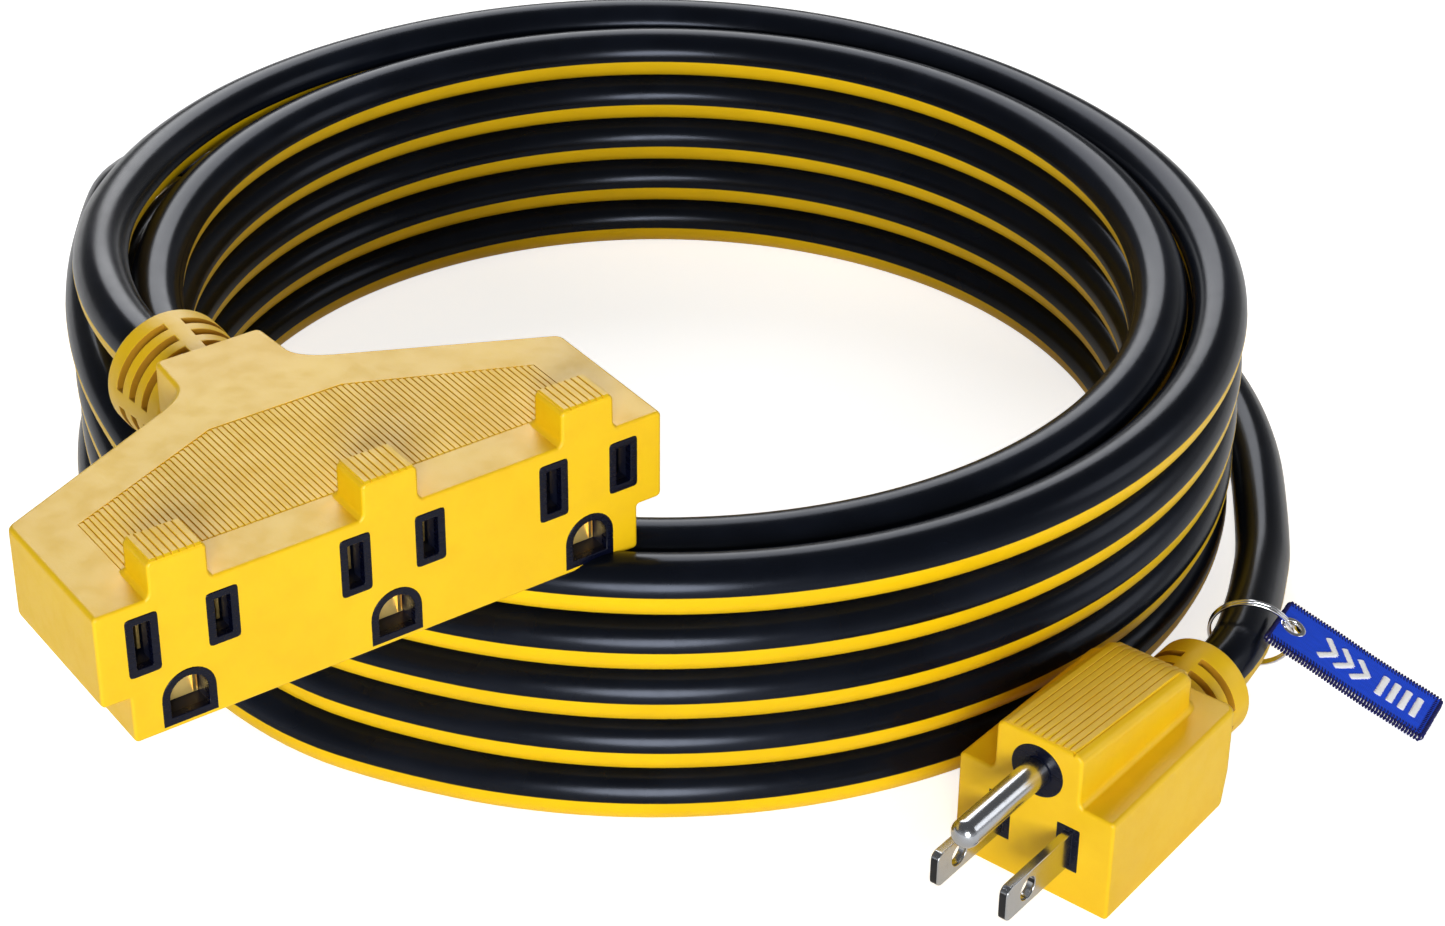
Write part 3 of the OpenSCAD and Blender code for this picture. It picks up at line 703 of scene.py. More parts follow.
def rounded_front(obj, radius):
    """Cuts the mesh off flat at y = 0, in millimetres, and rounds the new face's outline."""
    joined(obj, solid("front", block(300, -50, 0, -100, 100)), "DIFFERENCE")
    with editing(obj.data) as bm:
        bmesh.ops.remove_doubles(bm, verts=bm.verts, dist=SAME_SPOT)
        edges = []
        for edge in bm.edges:
            flat = all(abs(v.co.y) < SAME_SPOT for v in edge.verts)
            if flat and len(edge.link_faces) == 2 and edge.calc_face_angle() > 0.6:
                edges.append(edge)
        bmesh.ops.bevel(
            bm, geom=edges, offset=radius, segments=3, profile=0.5, affect="EDGES",
            offset_type="OFFSET", clamp_overlap=False,
        )


def crisp(obj, angle=30):
    """Smooth shading up to an angle between faces, in degrees."""
    obj.data.shade_smooth()
    obj.data.set_sharp_from_angle(angle=math.radians(angle))


def polish(obj, *names, angle=33):
    """Smooth shading up to an angle, flat faces kept flat, and the finishes."""
    if names:
        obj.data.materials.clear()
        for name in names:
            obj.data.materials.append(material(name))
    crisp(obj, angle)
    mod = obj.modifiers.new("normals", "WEIGHTED_NORMAL")
    mod.keep_sharp = True
    mod.weight = 60
    return settled(obj)


# ---- The cord's winding ----
def ease(t):
    """A share from 0 to 1, eased at both ends."""
    t = np.clip(t, 0, 1)
    return t * t * (3 - 2 * t)


def along_route(route, angles, column):
    """A route's column at those angles, by a monotone cubic through its points."""
    table = np.array(sorted(route))
    x, y = table[:, 0], table[:, column]
    h, d = np.diff(x), np.diff(y) / np.diff(x)
    slope = np.zeros_like(y)
    slope[0], slope[-1] = d[0], d[-1]
    for i in range(1, len(x) - 1):
        if d[i - 1] * d[i] > 0:
            w1, w2 = 2 * h[i] + h[i - 1], h[i] + 2 * h[i - 1]
            slope[i] = (w1 + w2) / (w1 / d[i - 1] + w2 / d[i])
    a = np.clip(angles, x[0], x[-1])
    k = np.clip(np.searchsorted(x, a) - 1, 0, len(x) - 2)
    t = (a - x[k]) / h[k]
    return (
        (2 * t**3 - 3 * t**2 + 1) * y[k]
        + (t**3 - 2 * t**2 + t) * h[k] * slope[k]
        + (3 * t**2 - 2 * t**3) * y[k + 1]
        + (t**3 - t**2) * h[k] * slope[k + 1]
    )


def winding(diameter):
    """The cord's centreline in the coil's frame, in millimetres, from the tap to the plug."""
    gap = COIL_R_OUT - COIL_R_IN
    height = LAYERS * diameter
    middle = (COIL_R_IN + COIL_R_OUT) / 2
    top = height - diameter / 2
    wound = 360 * TURNS
    last = CROSSING_ANGLE + wound - PLUG_FLOOR_ROUTE[-1][0]
    travel = np.linspace(CROSSING_ANGLE - TAP_LEAD[0][0], last, STATIONS)
    angle = CROSSING_ANGLE - travel
    turn = np.minimum(np.round(travel / 360).astype(int), TURNS)
    tau = travel - 360 * turn
    before = np.maximum(turn - 1, 0)
    rise, swap = (np.where(turn > 0, ease((tau + d / 2) / d), 0) for d in (CLIMB, CHANGE))
    hump = np.where(turn > 0, np.clip((tau + BULGE / 2) / BULGE, 0, 1), 0)
    half_gap = TURN_COLUMNS[before] * (gap + BULGE_BY * hump**2 * (1 - hump) ** 2) / 2
    same = TURN_COLUMNS[before] == TURN_COLUMNS[turn]
    radius = middle + np.where(same, half_gap, half_gap * np.cos(np.pi * swap))
    start, stop = TURN_LAYERS[before], TURN_LAYERS[turn]
    z = top - diameter * np.where(same, start + (stop - start) * rise, start)
    first = travel < CROSSING_ANGLE - TAP_LEAD[-1][0]
    radius[first] += along_route(TAP_LEAD, angle[first], 1)
    z[first] += along_route(TAP_LEAD, angle[first], 2)
    end = angle + wound < PLUG_DROP_ROUTE[0][0]
    a = angle[end] + wound
    dropping = a > PLUG_FLOOR_ROUTE[0][0]
    drop_out, floor_out = (along_route(r, a, 1) for r in (PLUG_DROP_ROUTE, PLUG_FLOOR_ROUTE))
    down = along_route(PLUG_DROP_ROUTE, a, 2) * (height - diameter)
    lift = np.where(dropping, 0, along_route(PLUG_FLOOR_ROUTE, a, 2))
    radius[end] += np.where(dropping, drop_out, floor_out)
    z[end] += lift - down
    turned_by = np.radians(angle)
    path = np.c_[radius * np.cos(turned_by), radius * np.sin(turned_by), z]
    boot = TAP_AT @ Vector((0, TAP_LEN + TAP_SLEEVE, TAP_AXIS)) - COIL_AT.translation
    return settle_turns(np.vstack([boot, path]), diameter)


def settle_turns(path, diameter):
    """Eases the turns apart until none lies in another."""
    clearance, reach, neighbours, rounds, pace = 0.05, 6, 7, 400, 0.9
    wanted = diameter + clearance
    far = np.linalg.norm(path[:, None] - path[None], axis=2)
    i, j = np.nonzero(far < diameter + reach)
    keep = j - i > neighbours
    i, j = i[keep], j[keep]
    shift = np.zeros_like(path)
    for _ in range(rounds):
        now = path + shift
        gap = now[j] - now[i]
        distance = np.linalg.norm(gap, axis=1)
        near = distance < wanted
        push = gap[near] / distance[near, None] * ((wanted - distance[near]) / 2)[:, None]
        force, weight = np.zeros_like(path), np.zeros(len(path))
        for at, share in ((i[near], -push), (j[near], push)):
            np.add.at(force, at, share)
            np.add.at(weight, at, 1)
        shift += pace * force / np.maximum(weight, 1)[:, None]
        for _ in range(2):
            shift[1:-1] = 0.25 * shift[:-2] + 0.5 * shift[1:-1] + 0.25 * shift[2:]
        shift[0] = shift[-1] = 0
        shift[:, 2] += np.maximum(0, diameter / 2 - (path[:, 2] + shift[:, 2]))
    return path + shift


def finer(path):
    """The path with a smooth point added in the middle of each step."""
    p = np.vstack([2 * path[0] - path[1], path, 2 * path[-1] - path[-2]])
    middle = (9 * (p[1:-2] + p[2:-1]) - (p[:-3] + p[3:])) / 16
    out = np.empty((len(path) * 2 - 1, 3))
    out[::2], out[1::2] = path, middle
    return out


# ---- Geometry Nodes ----
TREES = {}


def geometry_tree(name, sizes, others):
    """A tree with a mesh input, sizes and other inputs by name, and a mesh output."""
    tree = bpy.data.node_groups.new(name, "GeometryNodeTree")
    tree.interface.new_socket("Geometry", in_out="INPUT", socket_type="NodeSocketGeometry")
    kinds = {**dict.fromkeys(sizes, "Float"), **others}
    for label, kind in kinds.items():
        tree.interface.new_socket(label, in_out="INPUT", socket_type="NodeSocket" + kind)
    tree.interface.new_socket("Geometry", in_out="OUTPUT", socket_type="NodeSocketGeometry")
    recipe = Recipe(tree)
    return tree, recipe, recipe.node("NodeGroupInput")


def close_tree(recipe, spots, finish):
    """Ends a tree with instances on spots, realized, that carry their finish."""
    copies = recipe.node("GeometryNodeInstanceOnPoints", {}, spots)[0]
    real = recipe.node("GeometryNodeRealizeInstances", {}, {"Geometry": copies})[0]
    done = recipe.node("GeometryNodeSetMaterial", {}, {"Geometry": real, "Material": finish})[0]
    recipe.node("NodeGroupOutput", {}, {"Geometry": done})


def bar_tree():
    """Parallel bars along Y on a line along X; their rear ends follow a straight-sided outline."""
    sizes = [
        "Pitch", "Width", "Height", "Depth", "Front", "Deep End", "Bend End", "Inner", "Reach",
        "Soft End",
    ]
    tree, r, given = geometry_tree("bars", sizes, {"Count": "Int", "Finish": "Material"})
    half = (given["Count"] - 1) * given["Pitch"] / -2
    start = r.node("ShaderNodeCombineXYZ", {}, {0: half, 1: given["Front"]})[0]
    step = r.node("ShaderNodeCombineXYZ", {}, {0: given["Pitch"]})[0]
    values = {"Count": given["Count"], "Start Location": start, "Offset": step}
    line = r.node("GeometryNodeMeshLine", {"mode": "OFFSET"}, values)[0]
    unit = {"Size": (1, 1, 1), "Vertices X": 5, "Vertices Y": 6, "Vertices Z": 2}
    cube = r.node("GeometryNodeMeshCube", {}, unit)["Mesh"]
    here = r.node("ShaderNodeSeparateXYZ", {}, {0: r.node("GeometryNodeInputPosition")[0]})

    # One bar from a cube: y runs from 0 at its front end to 1 at its rear
    x, y, z = here[0], here[1] + 0.5, here[2]
    soft = given["Soft End"]
    ends = soft * y.ramp(0, 0.2, smooth=False) + soft * y.ramp(0.8, 1, smooth=False)
    length = ends + (1 - 2 * soft) * y.ramp(0.2, 0.8, smooth=False)
    side = abs(x) * 2
    across = 1 - 0.35 * side ** 6.0
    wide = (1 - (1 - side) ** 2.5) * (x.over(0) - (0 - x).over(0)) * 0.5
    tip = y.ramp(0, 0.18, 0.25, 1) * y.ramp(0.82, 1, 1, 0.25)
    top = z.over(0)
    height = top * across * tip * given["Height"] - (1 - top) * given["Depth"]
    shaped = r.node("ShaderNodeCombineXYZ", {}, {0: wide * given["Width"], 1: length, 2: height})[0]
    bar = r.node("GeometryNodeSetPosition", {}, {"Geometry": cube, "Position": shaped})[0]

    # Each bar's length, by its distance from the middle of the row
    share = ((abs(x) - given["Inner"]) / (given["Reach"] - given["Inner"])).upper(0).lower(1)
    reach = given["Deep End"] + (given["Bend End"] - given["Deep End"]) * share - given["Front"]
    scale = r.node("ShaderNodeCombineXYZ", {}, {0: 1.0, 1: reach, 2: 1.0})[0]
    close_tree(r, {"Points": line, "Instance": bar, "Scale": scale}, given["Finish"])
    return tree


def stitch_tree():
    """Threads laid across a line of edges at an even spacing."""
    sizes = ["Spacing", "Across", "Along", "Thick", "Slant"]
    tree, r, given = geometry_tree("stitches", sizes, {"Finish": "Material", "Seed": "Int"})
    curve = r.node("GeometryNodeMeshToCurve", {}, {"Mesh": given["Geometry"]})[0]
    spacing = {"Curve": curve, "Length": given["Spacing"]}
    even = r.node("GeometryNodeResampleCurve", {"mode": "LENGTH"}, spacing)[0]
    ball = {"Segments": 8, "Rings": 5, "Radius": 1.0}
    thread = r.node("GeometryNodeMeshUVSphere", {}, ball)["Mesh"]
    uneven = {2: 0.93, 3: 1.07, "Seed": given["Seed"]}
    jitter = r.node("FunctionNodeRandomValue", {"data_type": "FLOAT"}, uneven)[1]
    sizes = {0: given["Along"], 1: given["Across"] * jitter, 2: given["Thick"]}
    scale = r.node("ShaderNodeCombineXYZ", {}, sizes)[0]
    flat = {"Rotation": (0, 0, 0), "Vector": r.node("GeometryNodeInputTangent")[0]}
    turn = r.node("FunctionNodeAlignRotationToVector", {"axis": "X", "pivot_axis": "Z"}, flat)[0]
    slant = r.node("ShaderNodeCombineXYZ", {}, {2: given["Slant"]})[0]
    lean = r.node("FunctionNodeEulerToRotation", {}, {0: slant})[0]
    local = {"rotation_space": "LOCAL"}
    leaning = r.node("FunctionNodeRotateRotation", local, {0: turn, 1: lean})[0]
    spots = {"Points": even, "Instance": thread, "Rotation": leaning, "Scale": scale}
    close_tree(r, spots, given["Finish"])
    return tree


def grown(name, tree_maker, shape=None, at=None, **sizes):
    """A new plain mesh that a tree grows with those inputs, placed by a matrix in millimetres."""
    mesh = bpy.data.meshes.new(name)
    if shape:
        mesh.from_pydata([Vector(c) * MM for c in shape[0]], shape[1], [])
    obj = new_object(name, mesh)
    if tree_maker not in TREES:
        TREES[tree_maker] = tree_maker()
    tree = TREES[tree_maker]
    mod = obj.modifiers.new(tree.name, "NODES")
    mod.node_group = tree
    sockets = {s.name: s.identifier for s in tree.interface.items_tree if s.in_out == "INPUT"}
    for label, value in sizes.items():
        mod[sockets[label.replace("_", " ")]] = value
    settled(obj)
    if at:
        place(obj, at)
    return obj


def join_objects(objects, name):
    """Several meshes as one piece of that name, with the first one's finishes."""
    bm = bmesh.new()
    finishes = list(objects[0].data.materials)
    for obj in objects:
        bm.from_mesh(obj.data)
    mesh = bpy.data.meshes.new(name)
    bm.to_mesh(mesh)
    bm.free()
    for finish in finishes:
        mesh.materials.append(finish)
    for obj in objects:
        bpy.data.objects.remove(obj)
    return new_object(name, mesh)


# ---- Tap ----
# Where the outlets stand, what enters each of them, and the slots' places and heights
OUTLETS = [-34.5, 0, 34.5]
KINDS = ("neutral", "hot", "ground")
BLADE_X = {"neutral": -6.35, "hot": 6.35}
SLOT_H = {"neutral": 8, "hot": 7}
# The casing's width, the step in its sides, and where the sides and the neck end
TAP_W, STEP, SIDE_LEN, TAP_LEN = 96, 4.5, 28.4, 57.8
# Lengths of the two sleeves
TAP_SLEEVE, PLUG_SLEEVE = 15.8, 13.4
# Top, step and cord, from the height of the slots' middle
TOP, STEP_DROP, TAP_AXIS = 7.2, 8.4, -5.3
# Thickness of the front wall, and where the carrier behind it ends
WALL, CARRIER_BACK = 2, 22
# Height and length of the finger tabs
TAB_RISE, TAB_LEN = 6, 8.1
# The ground hole's floor, the centre of its dome and its radius
HOLE_FLOOR, HOLE_DOME, HOLE_R = -14.5, -11.1, 3.3
# Width of the dark collar round each slot
COLLAR = 0.95
# Shapes start this far in front of the face, where rounded_front cuts them off
SPARE = 3
# Radius of the bores that hold the jacket
BORE_R = 5


def mirrored(half):
    """An outline from its right half."""
    return half + [(-x, y) for x, y in reversed(half)]


def tap_outline(width):
    """Plan of the casing, counter-clockwise from the front's right corner."""
    start, pull, stop = (15.2, 44), (9.9, 46.8), (9.9, 50)
    bend = []
    for k in range(1, 8):
        t = k / 8
        bend.append(tuple(
            (1 - t) ** 2 * a + 2 * t * (1 - t) * b + t * t * c
            for a, b, c in zip(start, pull, stop)
        ))
    half = [(width / 2, -SPARE), (width / 2, SIDE_LEN), start, *bend, stop, (9.4, TAP_LEN)]
    radii = [0, 1.8, 2.5] + [0] * len(bend) + [0, 1.3]
    return rounded(mirrored(half), radii + radii[::-1])


def opening(kind, grow_by, x=0):
    """Outline [x, z] of a slot or a ground hole, grown outwards."""
    if kind == "ground":
        r, low = HOLE_R + grow_by, HOLE_FLOOR - grow_by
        turns = np.linspace(0, math.pi, 17)
        arc = [(x + r * math.cos(a), HOLE_DOME + r * math.sin(a)) for a in turns]
        return rounded([(x - r, low), (x + r, low)], [0, 0]) + arc
    x, w, h = x + BLADE_X[kind], 1.5 + grow_by, SLOT_H[kind] / 2 + grow_by
    return rounded(oblong(x - w, x + w, -h, h), [0.25 + grow_by * 0.4] * 4, 3)


def edge_levels(outline, edge, z, sign):
    """Loops of a rounded edge that ends at height z; sign is 1 at a top and -1 at a bottom."""
    levels, steps = [], 4
    for k in range(steps + 1):
        a = math.pi / 2 * k / steps
        loop = inset(outline, edge * (1 - math.cos(a)))
        levels.append(at_z(loop, z - sign * edge * (1 - math.sin(a))))
    return levels if sign > 0 else levels[::-1]


def tap_shell(edge):
    """The casing's outer form: a wide upper part on a narrower lower one."""
    upper, lower = (np.array(tap_outline(width)) for width in (TAP_W, TAP_W - 2 * STEP))
    apart = np.clip(np.abs(upper[:, 0] - lower[:, 0]) / 1.5, 0, 1)[:, None]

    def side(loop, distance, z):
        """The loop moved inwards only where the step is."""
        return at_z(loop + apart * (inset(loop, distance) - loop), z)

    levels = edge_levels(lower, edge, -TAP_DROP, -1)
    for distance, under in ((0, 0.5), (-0.14, 0.14), (-0.5, 0)):
        levels.append(side(lower, distance, -STEP_DROP - under))
    for k in range(4):
        a = math.pi / 2 * k / 3
        levels.append(side(upper, edge * (1 - math.sin(a)), -STEP_DROP + edge * (1 - math.cos(a))))
    levels += edge_levels(upper, edge, TOP, 1)
    return stack(levels)


def finger_tab(x):
    """A tab flush with the face, flared at its foot and rounded at its top."""
    half = 4.7
    outline = rounded(oblong(-half, half, -SPARE, TAB_LEN), [0, 0, 0.9, 0.9], 3)
    levels = []
    # Height over the casing's top, and how far the tab is wider there
    feet = [(-2.2, 1.0), (-0.12, 1.0), (0.06, 0.66), (0.3, 0.34), (0.65, 0.12), (1.1, 0)]
    tops = [(0.8, 0), (0.55, -0.07), (0.27, -0.25), (0.08, -0.5), (0, -0.8)]
    for z, out in feet + [(TAB_RISE - down, out) for down, out in tops]:
        loop = inset(outline, -out)
        back = np.clip((loop[:, 1] - TAB_LEN + 1) / 1.5, 0, 1)
        lean = back * 0.25 * (1 - z / TAB_RISE) * (z > 0)
        loop[:, 1] += back * max(0, out) * 0.8 + lean
        levels.append([(px + x, py, TOP + z) for px, py in loop])
    return stack(levels)


def carrier_room(grow_by):
    """Stepped section [x, z] of the room behind the front wall."""
    top, step = TOP - WALL + grow_by, WALL - STEP_DROP - grow_by
    low = HOLE_FLOOR - COLLAR - grow_by
    wide, narrow = TAP_W / 2 - WALL + grow_by, TAP_W / 2 - STEP - WALL + grow_by
    return mirrored([(narrow, low), (narrow, step), (wide, step), (wide, top)])


# The ribbed field's right half: its front, side and rear corners
FIELD = [(39.3, 8.7), (39.3, 22.7), (11.6, 34.9)]


def make_tap():
    """The casing, its ribbed field and the ridges on its finger tabs."""
    s = settings("casing")
    body = solid("tap_casing", tap_shell(s.edge / MM))
    joined(body, solid("tabs", merge(*(finger_tab(x) for x in OUTLETS))), "UNION")
    rounded_front(body, 0.55)
    # Rooms for the carrier, the crimps and the cores, and the bore for the jacket
    cuts = [upright(carrier_room(0.1), WALL, CARRIER_BACK + 1.7)]
    for x in OUTLETS:
        for kind in KINDS:
            cuts.append(upright(opening(kind, COLLAR + 0.04, x), -1, WALL + 0.5))
    cuts.append(block(26, CARRIER_BACK, 42.5, TAP_AXIS - 4.4, TAP_AXIS + 4.4))
    cuts.append(block(25.9, CARRIER_BACK, 34, -14, 4.2))
    cuts.append(lathe([(40, BORE_R), (TAP_LEN + 1, BORE_R)], 48, z=TAP_AXIS))
    joined(body, solid("cuts", merge(*cuts)), "DIFFERENCE", messy=True)
    field = prism(inset(mirrored(FIELD), -0.05), TOP - 0.22, TOP + 0.6)
    joined(body, solid("field", field), "DIFFERENCE")
    place(body, TAP_AT, MM)
    polish(body, "casing_yellow")
    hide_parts("tap_body")
    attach(body, "root")
    (reach, front), (_, bend), (inner, deep) = FIELD
    ribs = grown(
        "tap_ribs", bar_tree, at=TAP_AT @ Matrix.Translation((0, 0, TOP - 0.24)),
        Pitch=s.rib_pitch, Count=s.rib_count, Width=0.00085, Height=0.00025, Depth=0.0002,
        Front=front * MM, Deep_End=deep * MM, Bend_End=bend * MM, Inner=inner * MM,
        Reach=reach * MM, Soft_End=0.012, Finish=material("rib_yellow"),
    )
    ridges = []
    for x in OUTLETS:
        ridges.append(grown(
            "tab_ridges", bar_tree, at=TAP_AT @ Matrix.Translation((x, 0, TOP + 5.88)),
            Pitch=0.00118, Count=s.tab_ridges, Width=0.00102, Height=0.00036, Depth=0.0003,
            Front=0.00012, Deep_End=0.0078, Bend_End=0.0078, Inner=0.1, Reach=0.2,
            Soft_End=0.05, Finish=material("rib_yellow"),
        ))
    for piece in (join_objects([ribs], "tap_ribs"), join_objects(ridges, "tab_ridges")):
        crisp(piece)
        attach(piece, "root")


def rim(inner, outer, proud=0.13, soft=0.2):
    """A bevelled frame between two outlines [x, z] of equally many points."""
    inner_soft, outer_soft, deep = inset(inner, -soft), inset(outer, soft), 1.2
    rows = [
        (outer, 0.6), (outer, 0.0), (inset(outer, soft * 0.3), -proud * 0.75),
        (outer_soft, -proud), (inner_soft, -proud),
        (inset(inner, -soft * 0.3), -proud * 0.75), (inner, 0.0), (inner, deep),
        (inset(inner, -0.3), deep),
    ]
    return stack([at_y(loop, y) for loop, y in rows], wrap=True)


def make_outlet_rims():
    """The dark rims round the slots and the ground holes."""
    parts = []
    for x in OUTLETS:
        for kind in KINDS:
            parts.append(rim(opening(kind, -0.22, x), opening(kind, COLLAR + 0.12, x)))
    rims = polish(solid("outlet_rims", merge(*parts), TAP_AT), "rim_navy", angle=50)
    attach(rims, "root")


def make_ground_leaves():
    """The sprung brass leaves at the mouths of the ground contacts."""
    parts = []
    middle, mouth, slit, thick = -11.25, 4.0, 4.9, 0.15
    for x in OUTLETS:
        outer = opening("ground", -0.12, x)
        inner = [(x + (px - x) * 0.85, middle + (pz - middle) * 0.06) for px, pz in outer]
        rows = [(outer, mouth), (inner, slit), (inner, slit + thick), (outer, mouth + thick)]
        parts.append(stack([at_y(loop, y) for loop, y in rows], wrap=True))
    leaves = polish(solid("ground_leaves", merge(*parts), TAP_AT), "leaf_brass", angle=60)
    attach(leaves, "root")


# ---- Sleeves ----
def sleeve(length, root, collar, end_length, slot, rows):
    """A ribbed sleeve about Y: rings and four spines round a deeper core.

    Gives corners, faces, and a mark for each face that lies in a slot, which gets painted shade.
    """
    core, spine, between, edge = 6.3, 3.1, 2.05, 0.35
    solid_end = length - end_length
    slots = []
    for row in range(rows):
        back = solid_end - row * (slot + between)
        slots.append((back - slot, back))
    stations = sorted({0.0, edge, length - edge, length, *(y for ends in slots for y in ends)})

    def outer(y):
        r = root + (collar - root) * min(1, y / solid_end)
        return r - edge if y in (0, length) else r

    half = math.asin(spine / 2 / ((root + collar) / 2))
    angles = []
    for quarter in range(4):
        base = quarter * math.pi / 2
        angles += list(np.linspace(base - half, base + half, 4))
        angles += list(np.linspace(base + half, base + math.pi / 2 - half, 13))[1:-1]
    count = len(angles)
    spines = [(k % (count // 4)) < 3 for k in range(count)]
    corners, index, faces, marks = [], {}, [], []

    def corner(level, j, depth):
        """The corner at the surface, at a slot's floor or in the bore: depths 0, 1 and 2."""
        key = (level, j % count, depth)
        if key not in index:
            y, a = stations[level], angles[j % count]
            r = (outer(y), core, BORE_R)[depth]
            index[key] = len(corners)
            corners.append((r * math.cos(a), y, r * math.sin(a)))
        return index[key]

    def face(mark, *keys):
        faces.append(tuple(corner(*key) for key in keys))
        marks.append(mark)

    cut = {}
    for i in range(len(stations) - 1):
        middle = (stations[i] + stations[i + 1]) / 2
        inside = any(a < middle < b for a, b in slots)
        for j in range(count):
            cut[i, j] = inside and not spines[j]
    for i in range(len(stations) - 1):
        for j in range(count):
            deep = 1 if cut[i, j] else 0
            face(deep, (i, j, deep), (i, j + 1, deep), (i + 1, j + 1, deep), (i + 1, j, deep))
            if cut[i, j] != cut[i, (j + 1) % count]:
                face(1, (i, j + 1, 0), (i + 1, j + 1, 0), (i + 1, j + 1, 1), (i, j + 1, 1))
            if i and cut[i, j] != cut[i - 1, j]:
                face(1, (i, j, 0), (i, j + 1, 0), (i, j + 1, 1), (i, j, 1))
            face(0, (i, j, 2), (i, j + 1, 2), (i + 1, j + 1, 2), (i + 1, j, 2))
    for i in (0, len(stations) - 1):
        for j in range(count):
            face(0, (i, j, 0), (i, j + 1, 0), (i, j + 1, 2), (i, j, 2))
    return corners, faces, marks


def make_sleeve(name, node, at, **sizes):
    """A sleeve at that place, its slots painted a deeper ochre as shade in the recesses."""
    corners, faces, marks = sleeve(**sizes)
    mesh = bpy.data.meshes.new(name)
    mesh.from_pydata([(at @ Vector(c)) * MM for c in corners], [], faces)
    mesh.materials.append(material("casing_yellow"))
    mesh.materials.append(material("slot_ochre"))
    mesh.polygons.foreach_set("material_index", marks)
    face_outwards(mesh)
    obj = softened(new_object(name, mesh), 0.00022, 2, 38)
    polish(obj, angle=40)
    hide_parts(node)
    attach(obj, "root")


# ---- Plug ----
# Height and length of the thumb ridge, and length of the block
RIDGE_TOP, RIDGE_LEN, PLUG_LEN = 18.5, 34.2, 38.4
# Top of the block, middle of the pin and of the cord, from the height of the blades' middle
PLUG_TOP, GROUND_Z, PLUG_AXIS = 8.4, 11.9, -1.6


def ridge_height(y):
    """Height of the thumb ridge's top, sloping back and then rounding down."""
    bars, slope, fall_from, fall_over, fall_by = 0.35, 0.077, 29.5, 4.7, 1.7
    fall = max(0.0, y - fall_from) / fall_over
    return RIDGE_TOP - bars - slope * y - fall_by * fall**2.2


def plug_block(edge):
    """The lower block: a slight taper in plan, a slope under the rear and rounded corners."""
    front, back = 14.46, 13.6
    corners = [(front, -SPARE), (back, PLUG_LEN), (-back, PLUG_LEN), (-front, -SPARE)]
    outline = rounded(corners, [0, 2.0, 2.0, 0], 4)
    # Where the rear lies at each height
    heights, rears = (-10.7, -4, 4.5, 8.4), (37.2, 38.4, 38.3, 38.2)

    def rear(y, z):
        end = float(np.interp(z, heights, rears))
        return y + (end - PLUG_LEN) * float(ease((y - 30) / 8))

    levels = edge_levels(outline, edge, -PLUG_DROP, -1)
    levels += [at_z(outline, z) for z in (-4, 4.5)]
    levels += edge_levels(outline, edge, PLUG_TOP, 1)
    return stack([[(x, rear(y, z), z) for x, y, z in level] for level in levels])


def plug_ridge():
    """The thumb ridge with a filleted foot and a rounded, sloping top."""
    rounding, half, rings = 1.5, 7.9, 5
    outline = rounded(oblong(-half, half, -SPARE, RIDGE_LEN), [0, 0, 2.6, 2.6], 5)
    # Height, and how far the foot is wider there
    foot = [
        (PLUG_TOP - 2.5, 1.0), (PLUG_TOP - 0.05, 1.0), (8.55, 0.65), (8.8, 0.35), (9.2, 0.12),
        (9.7, 0),
    ]
    levels = [at_z(inset(outline, -out), z) for z, out in foot]
    for k in range(6):
        a = math.pi / 2 * k / 5
        loop = inset(outline, rounding * (1 - math.cos(a)))
        drop = rounding * (1 - math.sin(a))
        levels.append([(x, y, ridge_height(y) - drop) for x, y in loop])
    last = np.array(levels[-1])
    middle = (last[:, 1].min() + last[:, 1].max()) / 2
    for k in range(1, rings):
        share = k / rings
        loop = last.copy()
        loop[:, 0] *= 1 - share
        loop[:, 1] = middle + (loop[:, 1] - middle) * (1 - share)
        levels.append([(x, y, ridge_height(y)) for x, y, _ in loop])
    return stack(levels)


def plug_opening(kind, grow_by):
    """Outline [x, z] around a blade or the pin."""
    if kind == "ground":
        return circle(4.7 + grow_by, 48, 0, GROUND_Z)
    x, w, h = BLADE_X[kind], 2.06 + grow_by, 4.125 + grow_by
    return rounded(oblong(x - w, x + w, -h, h), [0.35] * 4, 3)


def plug_inside(kind):
    """Outline [x, z] of what passes through, with the same number of points."""
    if kind == "ground":
        return circle(2.45, 48, 0, GROUND_Z)
    x, w, h = BLADE_X[kind], 0.82, 3.25
    return rounded(oblong(x - w, x + w, -h, h), [0.1] * 4, 3)


